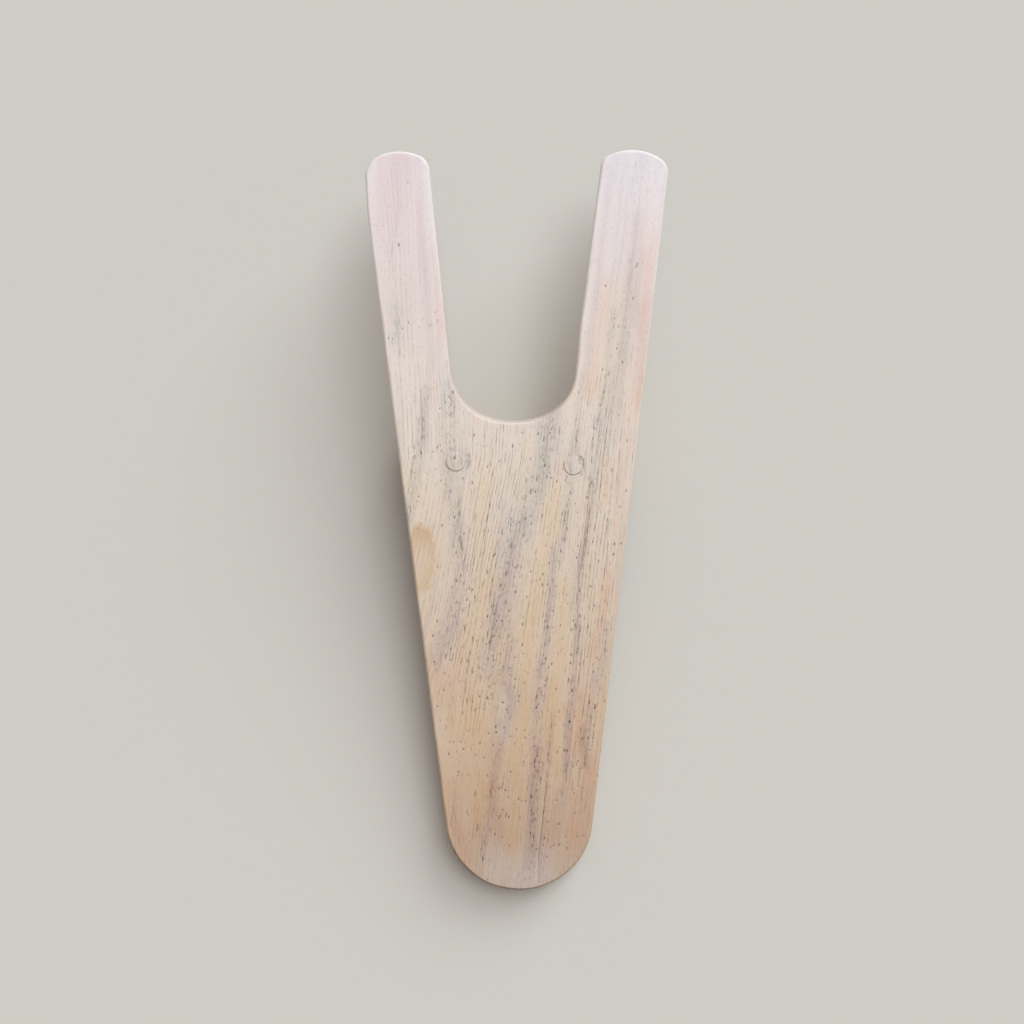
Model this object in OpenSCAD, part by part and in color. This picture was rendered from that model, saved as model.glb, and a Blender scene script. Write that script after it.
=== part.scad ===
/* [Board] */
// Length of the board along its face, from the tail to the line of the prong tips
board_len = 381; // [360:1:410]
// Thickness of the board
board_t = 19; // [17:0.5:24]
// Distance between the outer edges of the prongs, measured at the line of their tips
prong_span = 153; // [147:1:165]
// Radius of the rounded tail
tail_r = 38.5; // [34:0.5:44]
// Slope of the board up from the floor, in degrees
tilt = 8; // [7:0.25:10]
// Length of the flat under the tail, where the board stands on the floor
tail_flat = 12; // [6:1:18]
// Size of the worn rounding along the edges of the board
edge_r = 1.5; // [0.8:0.1:2.5]

/* [Prong tips] */
// Radius of the crown across each tip
crown_r = 26; // [22:1:40]
// Radius of the two corners of each tip
tip_corner_r = 8; // [5:0.5:10]

/* [Notch] */
// Depth of the notch below the line of the prong tips
notch_depth = 134; // [120:1:145]
// Width of the notch at the line of the prong tips
notch_w = 87.5; // [84:0.5:94]
// Lean of each side of the notch away from its centre line, in degrees
notch_flare = 6.4; // [5.5:0.1:7]
// Radius of the notch floor
notch_floor_r = 42; // [38:1:50]
// Radius of the notch between its floor and its sides
notch_corner_r = 27; // [24:1:29]
// Sideways place of the notch floor, as sawn by hand
notch_shift = -2.2; // [-3:0.1:3]
// Lean of the whole notch toward the right prong, as sawn by hand, in degrees
notch_lean = 1.1; // [-1.5:0.1:1.5]

/* [Screws] */
// Distance from the notch floor back to the row of screws
screw_back = 20.5; // [18:0.5:26]
// Distance between the two screws
screw_spacing = 59.6; // [50:0.1:70]
// Sideways place of the middle of the row
screw_shift = -1.3; // [-3:0.1:3]
// Skew of the row of screws across the board, in degrees
screw_skew = 2.2; // [-3:0.1:3]
// Depth that each screw bites into the riser block
screw_bite = 21; // [16:0.5:22]
// Diameter of the screw head
head_d = 8.4; // [7.5:0.1:9]
// Thickness of the rim round the head
head_rim = 0.4; // [0.2:0.1:0.8]
// Diameter of the smooth shank and of the crests of the thread
shank_d = 4.2; // [3.8:0.1:4.6]
// Diameter at the roots of the thread
root_d = 3; // [2.6:0.1:3.4]
// Distance between neighbouring crests of the thread
thread_pitch = 1.7; // [1.4:0.1:2]
// Length of the thread with its point
thread_len = 20; // [14:1:22]
// Least length of the plain point
point_len = 4.5; // [3:0.5:6]
// Width of the two slots of the cross recess
recess_w = 1.1; // [0.8:0.1:1.4]
// Length of the two slots of the cross recess
recess_len = 4.6; // [3.6:0.1:5.2]
// Depth of the cross recess
recess_depth = 1.6; // [1:0.1:1.8]

/* [Plugs] */
// Diameter of the counterbores that the plugs close
counterbore_d = 9.5; // [9.4:0.1:12]
// Depth of the counterbores
counterbore_depth = 8; // [6:0.5:9]

/* [Riser block] */
// Depth of the riser block along the board
riser_d = 32; // [26:1:40]
// Distance from the edges of the board in to the ends of the riser block, at its back
riser_inset = 3; // [1:0.5:12]
// Radius of the upright corners of the riser block
riser_corner_r = 4; // [2:0.5:8]

/* [Clearances] */
// Gap round each plug in its counterbore
plug_gap = 0.05; // [0.02:0.01:0.15]
// Gap between each plug and the head of its screw
head_gap = 0.3; // [0.1:0.1:0.6]
// Gap round each screw in the board
screw_gap = 0.15; // [0.05:0.05:0.4]
// Gap round the thread of each screw in the riser block
thread_gap = 0.05; // [0.02:0.01:0.1]

/* [Hidden] */
$fn = 96;

// Distance that a cut runs past the face it opens
past = 2;

// Each arc is drawn a hair larger than the arc that would just touch its neighbours, so that it
// crosses them at this angle, and the longer one of the two runs on past the crossing
crossing = 2.5;
run_on = 7;
function drawn(r) = r / cos(crossing);

// Directions on the board's face: along it and leaning right by an angle, square to that, and the
// heading of a vector
function lean(a) = [sin(a), cos(a)];
function square_to(a) = [cos(a), -sin(a)];
function toward(heading) = [cos(heading), sin(heading)];
function heading(v) = atan2(v.y, v.x);
function flip(p) = [-p.x, p.y];

// Centre of a circle of radius r that touches, from its left (side -1) or right (side 1), the line
// through p that leans by a, and that touches the circle round c of radius big from inside. Of two
// such circles it is the farther one along the line (way 1) or the nearer one (way -1).
function nested_centre(p, a, side, r, c, big, way) =
    let (
        start = p + side * r * square_to(a),
        middle = (c - start) * lean(a),
        offset = (c - start) * square_to(a)
    )
    start + (middle + way * sqrt((big - r) ^ 2 - offset ^ 2)) * lean(a);

// Outer edge of the right prong: the line from the corner of the span that touches the tail
tail_centre = [0, tail_r];
span_corner = [prong_span / 2, board_len];
side_lean = 90 - heading(span_corner - tail_centre) - asin(tail_r / norm(span_corner - tail_centre));
side_foot = tail_centre + tail_r * square_to(side_lean);

// Notch. A hand of 1 is the right prong, and -1 is the left one, whose shapes are worked out in
// mirror image: there the shift and the lean of the notch change sign.
notch_floor_y = board_len - notch_depth;
function side_angle(hand) = notch_flare + hand * notch_lean;
function in_notch(hand, across, up) =
    [hand * notch_shift, notch_floor_y]
    + across * square_to(hand * notch_lean)
    + up * lean(hand * notch_lean);
function floor_centre(hand) = in_notch(hand, 0, notch_floor_r);
function mouth(hand) = in_notch(hand, notch_w / 2, notch_depth);
function notch_corner(hand) =
    nested_centre(mouth(hand), side_angle(hand), -1, notch_corner_r, floor_centre(hand), notch_floor_r, -1);
function floor_heading(hand) = heading(notch_corner(hand) - floor_centre(hand));
function floor_end(hand) = floor_centre(hand) + notch_floor_r * toward(floor_heading(hand));
function inner_foot(hand) = notch_corner(hand) + notch_corner_r * square_to(side_angle(hand));

// Tips: the crown is square to the middle of its prong
prong_lean = (side_lean + notch_flare) / 2;
crown_centre = [(prong_span + notch_w) / 4 - crown_r * sin(prong_lean), board_len - crown_r];
outer_corner = nested_centre(span_corner, side_lean, -1, tip_corner_r, crown_centre, crown_r, 1);
function inner_corner(hand) =
    nested_centre(mouth(hand), side_angle(hand), 1, tip_corner_r, crown_centre, crown_r, 1);
outer_end = outer_corner + tip_corner_r * square_to(side_lean);
function inner_end(hand) = inner_corner(hand) - tip_corner_r * square_to(side_angle(hand));
outer_crown_heading = heading(outer_corner - crown_centre);
function inner_crown_heading(hand) = heading(inner_corner(hand) - crown_centre);
crown_run_on = run_on * tip_corner_r / crown_r;

// Screws: each head lies on the floor of its counterbore
screw_row_y = notch_floor_y - screw_back;
function screw_place(hand) =
    [screw_shift, screw_row_y] + hand * screw_spacing / 2 * [cos(screw_skew), sin(-screw_skew)];
head_top = board_t - counterbore_depth;
cone_top = head_top - head_rim;
cone_foot = cone_top - (head_d - shank_d) / 2;
thread_top = thread_len - screw_bite;
thread_turns = floor((thread_len - point_len) / thread_pitch);

// Riser block, under the row of screws
riser_back_y = screw_row_y - riser_d / 2;
riser_half_w = side_foot.x + (riser_back_y - side_foot.y) * tan(side_lean) - riser_inset;
riser_h = (screw_row_y + riser_d) * tan(tilt);

// The board's own frame has X across, Y along its face from the tail and Z up from its underside.
// It slopes up from the floor, and the origin of the part is on the floor below its middle.
tail_y = (board_t * sin(tilt) - board_len * cos(tilt)) / 2;
tail_z = -tail_flat * sin(tilt);
module on_board() {
    translate([0, tail_y, tail_z]) rotate([tilt, 0, 0]) children();
}

module below_floor() {
    translate([-board_len, -board_len, -board_len]) cube([2 * board_len, 2 * board_len, board_len]);
}

// The part of a disc between two headings, and what lies beyond it there
module wedge(r, from, to) {
    steps = ceil((to - from) / 45);
    polygon([[0, 0], for (i = [0 : steps]) r * toward(from + (to - from) * i / steps)]);
}

module sector(c, r, from, to) {
    translate(c) intersection() {
        circle(r);
        wedge(2 * r, from, to);
    }
}

module beyond_arc(c, r, from, to) {
    translate(c) difference() {
        wedge(3 * r, from, to);
        circle(r);
    }
}

// Plan of the notch, open past the tips
module notch_plan() {
    right_mouth = mouth(1) + 2 * past * lean(side_angle(1));
    left_mouth = flip(mouth(-1) + 2 * past * lean(side_angle(-1)));
    polygon([
        right_mouth, left_mouth, flip(inner_foot(-1)), flip(floor_end(-1)), floor_end(1), inner_foot(1)
    ]);
    translate(notch_corner(1)) circle(drawn(notch_corner_r));
    translate(flip(notch_corner(-1))) circle(drawn(notch_corner_r));
    sector(floor_centre(1), notch_floor_r, -180 - floor_heading(-1), floor_heading(1));
}

// What is cut from one prong's tip, in plan
module tip_cuts(hand) {
    beyond_arc(crown_centre, crown_r,
        outer_crown_heading - crown_run_on, inner_crown_heading(hand) + crown_run_on);
    beyond_arc(outer_corner, drawn(tip_corner_r), -side_lean, outer_crown_heading);
    beyond_arc(inner_corner(hand), drawn(tip_corner_r),
        inner_crown_heading(hand), 180 - side_angle(hand));
}

module board_plan() {
    foot = side_foot - (side_foot.y + past) / cos(side_lean) * lean(side_lean);
    top = span_corner + past * lean(side_lean);
    difference() {
        polygon([flip(foot), foot, top, flip(top)]);
        beyond_arc(tail_centre, drawn(tail_r), side_lean - 180, -side_lean);
        notch_plan();
        tip_cuts(1);
        mirror([1, 0]) tip_cuts(-1);
    }
}

// Section of what wear takes off an edge: X is the way out of the board and Y is up, from the
// sharp edge. Its arc leaves the two faces at a slight angle.
module worn_edge() {
    centre = 1.2 * edge_r;
    translate([-centre, -centre]) difference() {
        square(centre + past);
        circle(norm([centre - edge_r, centre]));
    }
}

// Wear along a straight edge, with the board on the left of the way from p to q
module worn_line(p, q) {
    translate(q) rotate(heading(q - p) - 90) rotate([90, 0, 0]) linear_extrude(norm(q - p)) worn_edge();
}

// Wear along an arc that bulges out of the board (way 1) or is hollowed into it (way -1)
module worn_arc(c, r, from, to, way) {
    translate(c) rotate(from) rotate_extrude(angle = to - from)
        translate([r, 0]) scale([way, 1]) worn_edge();
}

// Edges of the board's plan. Each has its hand, then the two ends of a line, or the centre, radius,
// headings and way of an arc.
tip_run_on = tip_corner_r * tan(run_on);
plan_edges = [
    for (hand = [1, -1]) each [
        [hand, side_foot - tail_r * tan(run_on) * lean(side_lean), outer_end + tip_run_on * lean(side_lean)],
        [hand, outer_corner, drawn(tip_corner_r), -side_lean, outer_crown_heading, 1],
        [hand, crown_centre, crown_r,
            outer_crown_heading - crown_run_on, inner_crown_heading(hand) + crown_run_on, 1],
        [hand, inner_corner(hand), drawn(tip_corner_r), inner_crown_heading(hand), 180 - side_angle(hand), 1],
        [hand, inner_end(hand) + tip_run_on * lean(side_angle(hand)), inner_foot(hand)],
        [hand, notch_corner(hand), drawn(notch_corner_r),
            floor_heading(hand) - run_on, run_on - side_angle(hand), -1]
    ],
    [1, tail_centre, drawn(tail_r), side_lean - 180, -side_lean, 1],
    [1, floor_centre(1), notch_floor_r, -180 - floor_heading(-1), floor_heading(1), -1]
];

// The children with the edges from number i on worn off, at height z and turned up (way 1) or
// down (way -1)
module worn(z, way, i = 0) {
    if (i == len(plan_edges)) children();
    else {
        edge = plan_edges[i];
        difference() {
            worn(z, way, i + 1) children();
            translate([0, 0, z]) scale([edge[0], 1, way]) {
                if (len(edge) == 3) worn_line(edge[1], edge[2]);
                else worn_arc(edge[1], edge[2], edge[3], edge[4], edge[5]);
            }
        }
    }
}

// Hole for one screw in the board, with its countersink and counterbore
module screw_hole() {
    shank = shank_d / 2 + screw_gap;
    head = head_d / 2 + screw_gap;
    bore = counterbore_d / 2;
    rotate_extrude() polygon([
        [0, -past], [shank, -past], [shank, cone_foot], [head, cone_top], [head, head_top],
        [bore, head_top], [bore, board_t + past], [0, board_t + past]
    ]);
}

// Half section of the thread, from its top down to its point, with a gap all round
function thread_side(gap) = [
    for (i = [0 : thread_turns - 1]) each [
        [root_d / 2 + gap, thread_top - i * thread_pitch],
        [shank_d / 2 + gap, thread_top - (i + 0.5) * thread_pitch]
    ],
    [root_d / 2 + gap, thread_top - thread_turns * thread_pitch],
    [0, -screw_bite - 2 * gap]
];

module thread_hole() {
    shank = shank_d / 2 + thread_gap;
    rotate_extrude() polygon(concat([[0, past], [shank, past], [shank, thread_top]], thread_side(thread_gap)));
}

module screw(hand) {
    head = head_d / 2;
    shank = shank_d / 2;
    on_board() translate(screw_place(hand)) difference() {
        rotate_extrude() polygon(concat(
            [[0, head_top], [head, head_top], [head, cone_top], [shank, cone_foot], [shank, thread_top]],
            thread_side(0)
        ));
        for (turn = [0, 90]) rotate(turn)
            translate([-recess_len / 2, -recess_w / 2, head_top - recess_depth])
                cube([recess_len, recess_w, recess_depth + past]);
    }
}

module plug(hand) {
    foot = head_top + head_gap;
    on_board() translate(screw_place(hand)) translate([0, 0, foot])
        cylinder(h = board_t - foot, d = counterbore_d - 2 * plug_gap);
}

module board() color([0.87, 0.8, 0.73])
    difference() {
        on_board() difference() {
            worn(board_t, 1) worn(0, -1) linear_extrude(board_t) board_plan();
            for (hand = [-1, 1]) translate(screw_place(hand)) screw_hole();
        }
        below_floor();
    }

module riser_plan() {
    size = [riser_half_w, riser_d / 2];
    corner = size - [riser_corner_r, riser_corner_r];
    difference() {
        square(2 * size, center = true);
        for (x = [0, 1], y = [0, 1]) mirror([x, 0]) mirror([0, y])
            beyond_arc(corner, drawn(riser_corner_r), 0, 90);
    }
}

module riser_block() color([0.82, 0.74, 0.66])
    difference() {
        on_board() difference() {
            translate([0, screw_row_y, -riser_h]) linear_extrude(riser_h) riser_plan();
            for (hand = [-1, 1]) translate(screw_place(hand)) thread_hole();
        }
        below_floor();
    }

module screw_left() color([0.72, 0.72, 0.7]) screw(-1);
module screw_right() color([0.72, 0.72, 0.7]) screw(1);
module plug_left() color([0.84, 0.76, 0.68]) plug(-1);
module plug_right() color([0.84, 0.76, 0.68]) plug(1);

board();
riser_block();
screw_left();
screw_right();
plug_left();
plug_right();
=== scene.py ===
"""A boot jack: a whitewashed hardwood board with a forked front and a rounded tail, held up by a
block under it, with two screws whose heads are hidden below wooden plugs.

The pieces are built in the board's own frame, in millimetres: v runs across the board, u along its
face from the tail, and w up from its underside. The board slopes up from the floor."""
import math
import random

import bmesh
import bpy
from mathutils import Matrix, Vector, noise
from mathutils.geometry import delaunay_2d_cdt


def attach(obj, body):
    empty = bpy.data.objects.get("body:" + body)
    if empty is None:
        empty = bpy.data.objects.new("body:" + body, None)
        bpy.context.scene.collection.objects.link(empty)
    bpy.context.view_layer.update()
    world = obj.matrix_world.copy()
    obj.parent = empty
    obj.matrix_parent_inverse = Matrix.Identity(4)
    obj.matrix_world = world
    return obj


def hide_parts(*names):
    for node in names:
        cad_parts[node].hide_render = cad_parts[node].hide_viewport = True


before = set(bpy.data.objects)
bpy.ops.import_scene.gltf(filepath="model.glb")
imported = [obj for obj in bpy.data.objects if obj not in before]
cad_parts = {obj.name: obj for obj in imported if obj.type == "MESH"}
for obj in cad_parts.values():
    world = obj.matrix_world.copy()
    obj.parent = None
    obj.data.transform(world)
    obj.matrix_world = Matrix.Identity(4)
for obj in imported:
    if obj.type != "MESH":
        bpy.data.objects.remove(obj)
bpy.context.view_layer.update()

# The board's length and thickness, its slope, the flat under its tail, and its edges' radius
BOARD_LEN = 381.0
BOARD_T = 19.0
TILT = math.radians(8)
TAIL_FLAT = 12.0
EDGE_R = 1.5

TAIL_Y = (BOARD_T * math.sin(TILT) - BOARD_LEN * math.cos(TILT)) / 2
TAIL_Z = -TAIL_FLAT * math.sin(TILT)
ON_BOARD = (
    Matrix.Scale(0.001, 4)
    @ Matrix.Translation((0, TAIL_Y, TAIL_Z))
    @ Matrix.Rotation(TILT, 4, "X")
)
FROM_ROOM = ON_BOARD.inverted()

# Places of the two screws and plugs (v, u), and the steps of their holes (radius, height)
NOTCH_CENTRE = Vector((-2.2, 289.0))
SCREW_PLACES = {"left": Vector((-31.08, 227.64)), "right": Vector((28.48, 225.36))}
BOARD_HOLE = [(4.75, BOARD_T), (4.75, 11.0), (4.35, 11.0), (4.35, 10.6), (2.25, 8.5), (2.25, 0.0)]
RISER_HOLE = [(2.15, 0.0), (2.15, -21.1)]
PLUG_R = 4.7
PLUG_FOOT = 11.3


# Camera and light

def srgb(r, g, b):
    """A colour as it reads on a screen, 0 to 255, as the linear colour that a shader takes."""
    return tuple(
        (c / 255 / 12.92 if c / 255 <= 0.04045 else ((c / 255 + 0.055) / 1.055) ** 2.4)
        for c in (r, g, b)
    )


# The camera hangs above the part, in metres, and is turned a little, as in the photograph
CAMERA_PLACE = (-0.0027, 0.0099, 0.768)
CAMERA_TURN = math.radians(-0.364)
FLOOR_HALF = 4.0
FLOOR_COLOUR = srgb(207, 204, 197)
# Share of the floor's light that each lamp gives, the way to it, and how wide it looks in degrees
LAMPS = {"near": (0.38, Vector((0.25, 0.42, 1.0)), 36), "low": (0.28, Vector((0.95, 1.5, 1.0)), 36)}
KEY_TINT = (0.93, 1.0, 1.04)


def show(name, data):
    """A new object with this data, in the scene."""
    thing = bpy.data.objects.new(name, data)
    bpy.context.scene.collection.objects.link(thing)
    return thing


def make_camera():
    data = bpy.data.cameras.new("camera")
    data.lens = 50
    data.sensor_width = 36
    data.clip_start = 0.02
    cam = show("camera", data)
    cam.location = CAMERA_PLACE
    cam.rotation_euler = (0, 0, CAMERA_TURN)
    bpy.context.scene.camera = cam


def make_light():
    """Two wide soft lights from beyond the tips, one high and one low, and an even fill from all
    round. Together they light the floor so that it shows in its own colour."""
    scene = bpy.context.scene
    key = 0.0
    for name, (share, way, width) in LAMPS.items():
        towards = way.normalized()
        sun = bpy.data.lights.new(name, "SUN")
        sun.angle = math.radians(width)
        sun.energy = share * math.pi / towards.z
        sun.color = KEY_TINT
        lamp = show(name, sun)
        lamp.rotation_mode = "QUATERNION"
        lamp.rotation_quaternion = towards.to_track_quat("Z", "Y")
        key += share
    world = bpy.data.worlds.new("studio")
    world.use_nodes = True
    back = world.node_tree.nodes["Background"]
    back.inputs["Color"].default_value = (*((1 - key * tint) / (1 - key) for tint in KEY_TINT), 1)
    back.inputs["Strength"].default_value = 1 - key
    scene.world = world
    scene.view_settings.view_transform = "Standard"


def make_floor():
    mesh = bpy.data.meshes.new("floor")
    corners = [(x * FLOOR_HALF, y * FLOOR_HALF, 0) for x, y in ((-1, -1), (1, -1), (1, 1), (-1, 1))]
    mesh.from_pydata(corners, [], [(0, 1, 2, 3)])
    paint = bpy.data.materials.new("floor_paint")
    paint.use_nodes = True
    shader = paint.node_tree.nodes["Principled BSDF"]
    shader.inputs["Base Color"].default_value = (*FLOOR_COLOUR, 1)
    shader.inputs["Roughness"].default_value = 1.0
    shader.inputs["Specular IOR Level"].default_value = 0.0
    mesh.materials.append(paint)
    floor = show("floor", mesh)


# Outlines

SAME_SPOT = 0.001


def section(node, height):
    """The longest loop in which the plane at a height in the board's frame cuts a CAD node."""
    bm = bmesh.new()
    bm.from_mesh(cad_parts[node].data)
    bm.transform(FROM_ROOM)
    bmesh.ops.remove_doubles(bm, verts=bm.verts, dist=SAME_SPOT)
    cut = bmesh.ops.bisect_plane(
        bm, geom=bm.verts[:] + bm.edges[:] + bm.faces[:], plane_co=(0, 0, height), plane_no=(0, 0, 1))
    links = {}
    for e in cut["geom_cut"]:
        if isinstance(e, bmesh.types.BMEdge):
            a, b = e.verts
            links.setdefault(a, []).append(b)
            links.setdefault(b, []).append(a)
    loops = []
    while links:
        here = next(iter(links))
        loop = []
        while here in links:
            loop.append(Vector((here.co.x, here.co.y)))
            ways = [n for n in links.pop(here) if n in links]
            here = ways[0] if ways else None
        loops.append(loop)
    best = max(loops, key=lambda l: sum((a - b).length for a, b in zip(l, l[1:])))
    bm.free()
    return best


def even_loop(loop, step):
    """The loop counterclockwise, with points about a step apart, and the outward normal at each."""
    area = sum(a.x * b.y - b.x * a.y for a, b in zip(loop, loop[1:] + loop[:1]))
    if area < 0:
        loop = loop[::-1]
    lengths = [(b - a).length for a, b in zip(loop, loop[1:] + loop[:1])]
    count = round(sum(lengths) / step)
    pitch = sum(lengths) / count
    points, i, gone = [], 0, 0.0
    for k in range(count):
        while gone + lengths[i] < k * pitch:
            gone += lengths[i]
            i += 1
        points.append(loop[i].lerp(loop[(i + 1) % len(loop)], (k * pitch - gone) / lengths[i]))
    normals = []
    for k in range(count):
        along = points[(k + 2) % count] - points[k - 2]
        normals.append(Vector((along.y, -along.x)).normalized())
    return points, normals


def smooth(lo, hi, x):
    """0 at lo and 1 at hi, with an even turn between. hi may be below lo."""
    t = min(max((x - lo) / (hi - lo), 0.0), 1.0)
    return t * t * (3 - 2 * t)


def wave(v, u, size, seed=0.0):
    """Smooth noise from -1 to 1 whose hills are about that size."""
    return noise.noise(Vector((v / size, u / size, seed)))


# Where the lean of the grain changes: the tail, the body of the board and the prongs
TAIL_END = 105.0
PRONG_START = 230.0


def grain_place(v, u):
    """The place across the grain, which is the same all along one fibre."""
    lean_tail = 0.120
    lean_body = 0.205 - 0.085 * smooth(-5, 40, v)
    lean_prong = -0.028 + 0.160 * smooth(-45, 25, v)
    rise = lean_tail * min(u, TAIL_END)
    rise += lean_body * min(max(u - TAIL_END, 0.0), PRONG_START - TAIL_END)
    rise += lean_prong * max(u - PRONG_START, 0.0)
    drift = 1.6 * wave(v, u * 0.45, 40, 3.1) + 0.4 * wave(v, u * 0.35, 14, 7.7)
    return v - rise + drift


# Marks on the top face, placed after the photograph: a line of (v, u), half its width, and its strength
GREY_BANDS = [
    ([(-34, 262), (-34, 245), (-34, 225), (-34, 212), (-31, 198), (-30, 186)], 3.4, 0.8),
    ([(-30, 180), (-29, 168), (-30, 155)], 2.8, 0.8),
    ([(-32, 155), (-35, 142), (-39, 133), (-43, 126)], 3.6, 1.0),
    ([(-46, 262), (-48, 248), (-50, 232), (-53, 215), (-55, 200)], 1.8, 0.9),
    ([(16, 250), (15, 235), (13, 225), (9, 214), (5, 204), (1, 194), (-2, 186)], 4.6, 0.85),
    ([(-2, 190), (-4, 178), (-6, 166), (-8, 154), (-9, 146), (-11, 136), (-14, 126)], 4.8, 0.9),
    ([(-5, 134), (-6, 124), (-6, 112), (-4, 104), (-5, 96)], 2.2, 0.9),
    ([(-4, 100), (-8, 88), (-11, 76), (-13, 62), (-14, 46), (-17, 34), (-19, 22)], 2.4, 0.7),
    ([(-14, 16), (-6, 8), (2, 6)], 3.5, 0.3),
    ([(12, 120), (12, 106), (10.5, 92), (9, 78)], 2.3, 0.9),
    ([(9.5, 76), (8.5, 62), (8, 50), (7, 38), (8, 26), (5, 14)], 2.8, 0.8),
    ([(18, 182), (18, 166), (17, 154), (15, 141), (14, 130), (12, 121)], 1.7, 0.8),
    ([(28, 236), (27, 222), (25, 204), (23, 189), (21, 177)], 1.7, 0.8),
    ([(32, 178), (32, 165), (30, 150), (30, 135), (28.5, 118), (27, 100), (25, 85), (24, 66)], 1.5, 0.9),
    ([(49, 300), (45, 270), (41, 245), (39, 222), (37, 205), (36, 190), (33, 178)], 1.8, 0.7),
    ([(40, 116), (37, 100), (36, 85), (35, 68)], 1.2, 0.7),
    ([(46, 142), (45, 132), (43, 118), (42, 108)], 1.6, 0.7),
    ([(14, 24), (12, 14), (12, 6)], 2.0, 0.6),
    ([(57, 325), (56, 300), (54, 282)], 3.0, 0.4),
    ([(62, 385), (60, 366), (59, 350)], 4.0, 0.35),
    ([(50, 385), (48, 366)], 1.5, 0.4),
    ([(-59, 302), (-60, 290)], 3.0, 0.6),
]
DARK_STREAKS = [
    ([(-47.5, 378), (-47, 350), (-45, 315), (-43, 285), (-44, 262), (-47, 240)], 1.5, 0.6),
    ([(-62.5, 325), (-60, 340), (-57, 362)], 0.8, 0.7),
    ([(-66, 315), (-64, 335)], 0.7, 0.5),
    ([(-54, 345), (-53, 325), (-54, 300)], 1.0, 0.3),
    ([(-59, 300), (-59, 295)], 1.4, 0.6),
    ([(46, 372), (44, 350), (41, 320), (37, 292), (34, 268)], 1.2, 0.5),
    ([(60, 345), (58, 325), (55, 300), (53, 285), (50, 265), (47, 240)], 2.6, 0.5),
    ([(62, 330), (60, 310), (60, 298)], 1.8, 0.6),
    ([(33, 270), (31, 250), (30, 232)], 0.9, 0.8),
    ([(28, 215), (26, 202), (24, 188)], 0.9, 0.5),
    ([(37, 205), (35, 192), (34, 180)], 0.8, 0.5),
    ([(15, 232), (15, 224), (12, 214)], 2.0, 0.6),
    ([(3, 198), (-1, 190), (-4, 182)], 1.6, 0.5),
    ([(-29.5, 214), (-29.5, 200), (-28, 183)], 0.8, 0.7),
    ([(-6, 172), (-8, 162)], 2.0, 0.6),
    ([(-11, 156), (-12, 146), (-14, 134)], 1.6, 0.5),
    ([(18, 172), (16, 155), (14, 140)], 0.9, 0.5),
    ([(32, 172), (31, 152), (29, 128)], 0.8, 0.5),
    ([(10, 108), (9, 100)], 1.2, 0.6),
    ([(-10, 92), (-12, 86)], 1.6, 0.8),
    ([(17.5, 96), (17, 85), (16, 75), (15, 66), (14, 54)], 0.7, 0.8),
    ([(9, 76), (9, 68), (11, 66)], 1.8, 0.8),
    ([(8, 60), (8, 53)], 1.5, 0.7),
    ([(6.3, 52), (6.3, 40)], 0.8, 0.8),
    ([(8, 41), (7, 37)], 1.6, 0.7),
    ([(25.5, 100), (25, 86), (24.5, 70), (23, 54)], 1.0, 0.6),
    ([(33, 86), (33.5, 76)], 1.4, 1.0),
    ([(35, 80), (34.5, 68)], 0.6, 0.7),
    ([(-14, 58), (-14, 46), (-12, 38)], 2.2, 0.3),
    ([(-60, 385), (-60, 345), (-56, 310)], 9.0, 0.34),
    ([(-58, 388), (-59, 372)], 7.0, 0.6),
    ([(-11, 36), (-10, 26)], 3.0, 0.35),
    ([(20, 50), (19, 36)], 2.5, 0.4),
    ([(7, 34), (8, 22)], 1.8, 0.5),
    ([(65, 302), (62, 262)], 3.2, 0.35),
    ([(18, 254), (17, 238)], 4.0, 0.5),
    ([(16, 236), (13, 222)], 4.0, 0.4),
    ([(-10, 110), (-12, 74)], 4.0, 0.4),
    ([(2, 112), (4, 98)], 4.0, 0.25),
]
GOLD_BANDS = [
    ([(-18, 214), (-19, 190), (-18, 165), (-21, 150), (-25, 134), (-28, 120)], 3.8, 0.6),
    ([(19, 212), (17, 195), (13, 178), (10, 160), (7, 148), (5, 134), (5, 120)], 3.0, 0.9),
    ([(3, 118), (3, 100), (2, 86), (-2, 74), (-3, 58)], 2.4, 1.0),
    ([(-1, 54), (-2, 38), (-4, 22)], 3.6, 0.7),
    ([(23, 162), (24, 146), (22, 130), (18, 108), (14, 92)], 2.4, 0.7),
    ([(20, 100), (19, 84), (20, 66)], 1.6, 0.7),
    ([(-26, 104), (-25, 94), (-22, 86)], 5.0, 0.9),
    ([(-21, 52), (-22, 42)], 3.8, 1.0),
    ([(-36, 92), (-37, 78)], 4.0, 0.5),
    ([(-30, 64), (-30, 56)], 4.0, 0.4),
    ([(43, 240), (43, 222), (42, 206)], 2.0, 0.4),
    ([(51, 312), (47, 290), (43, 268)], 5.0, 0.7),
]
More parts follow.
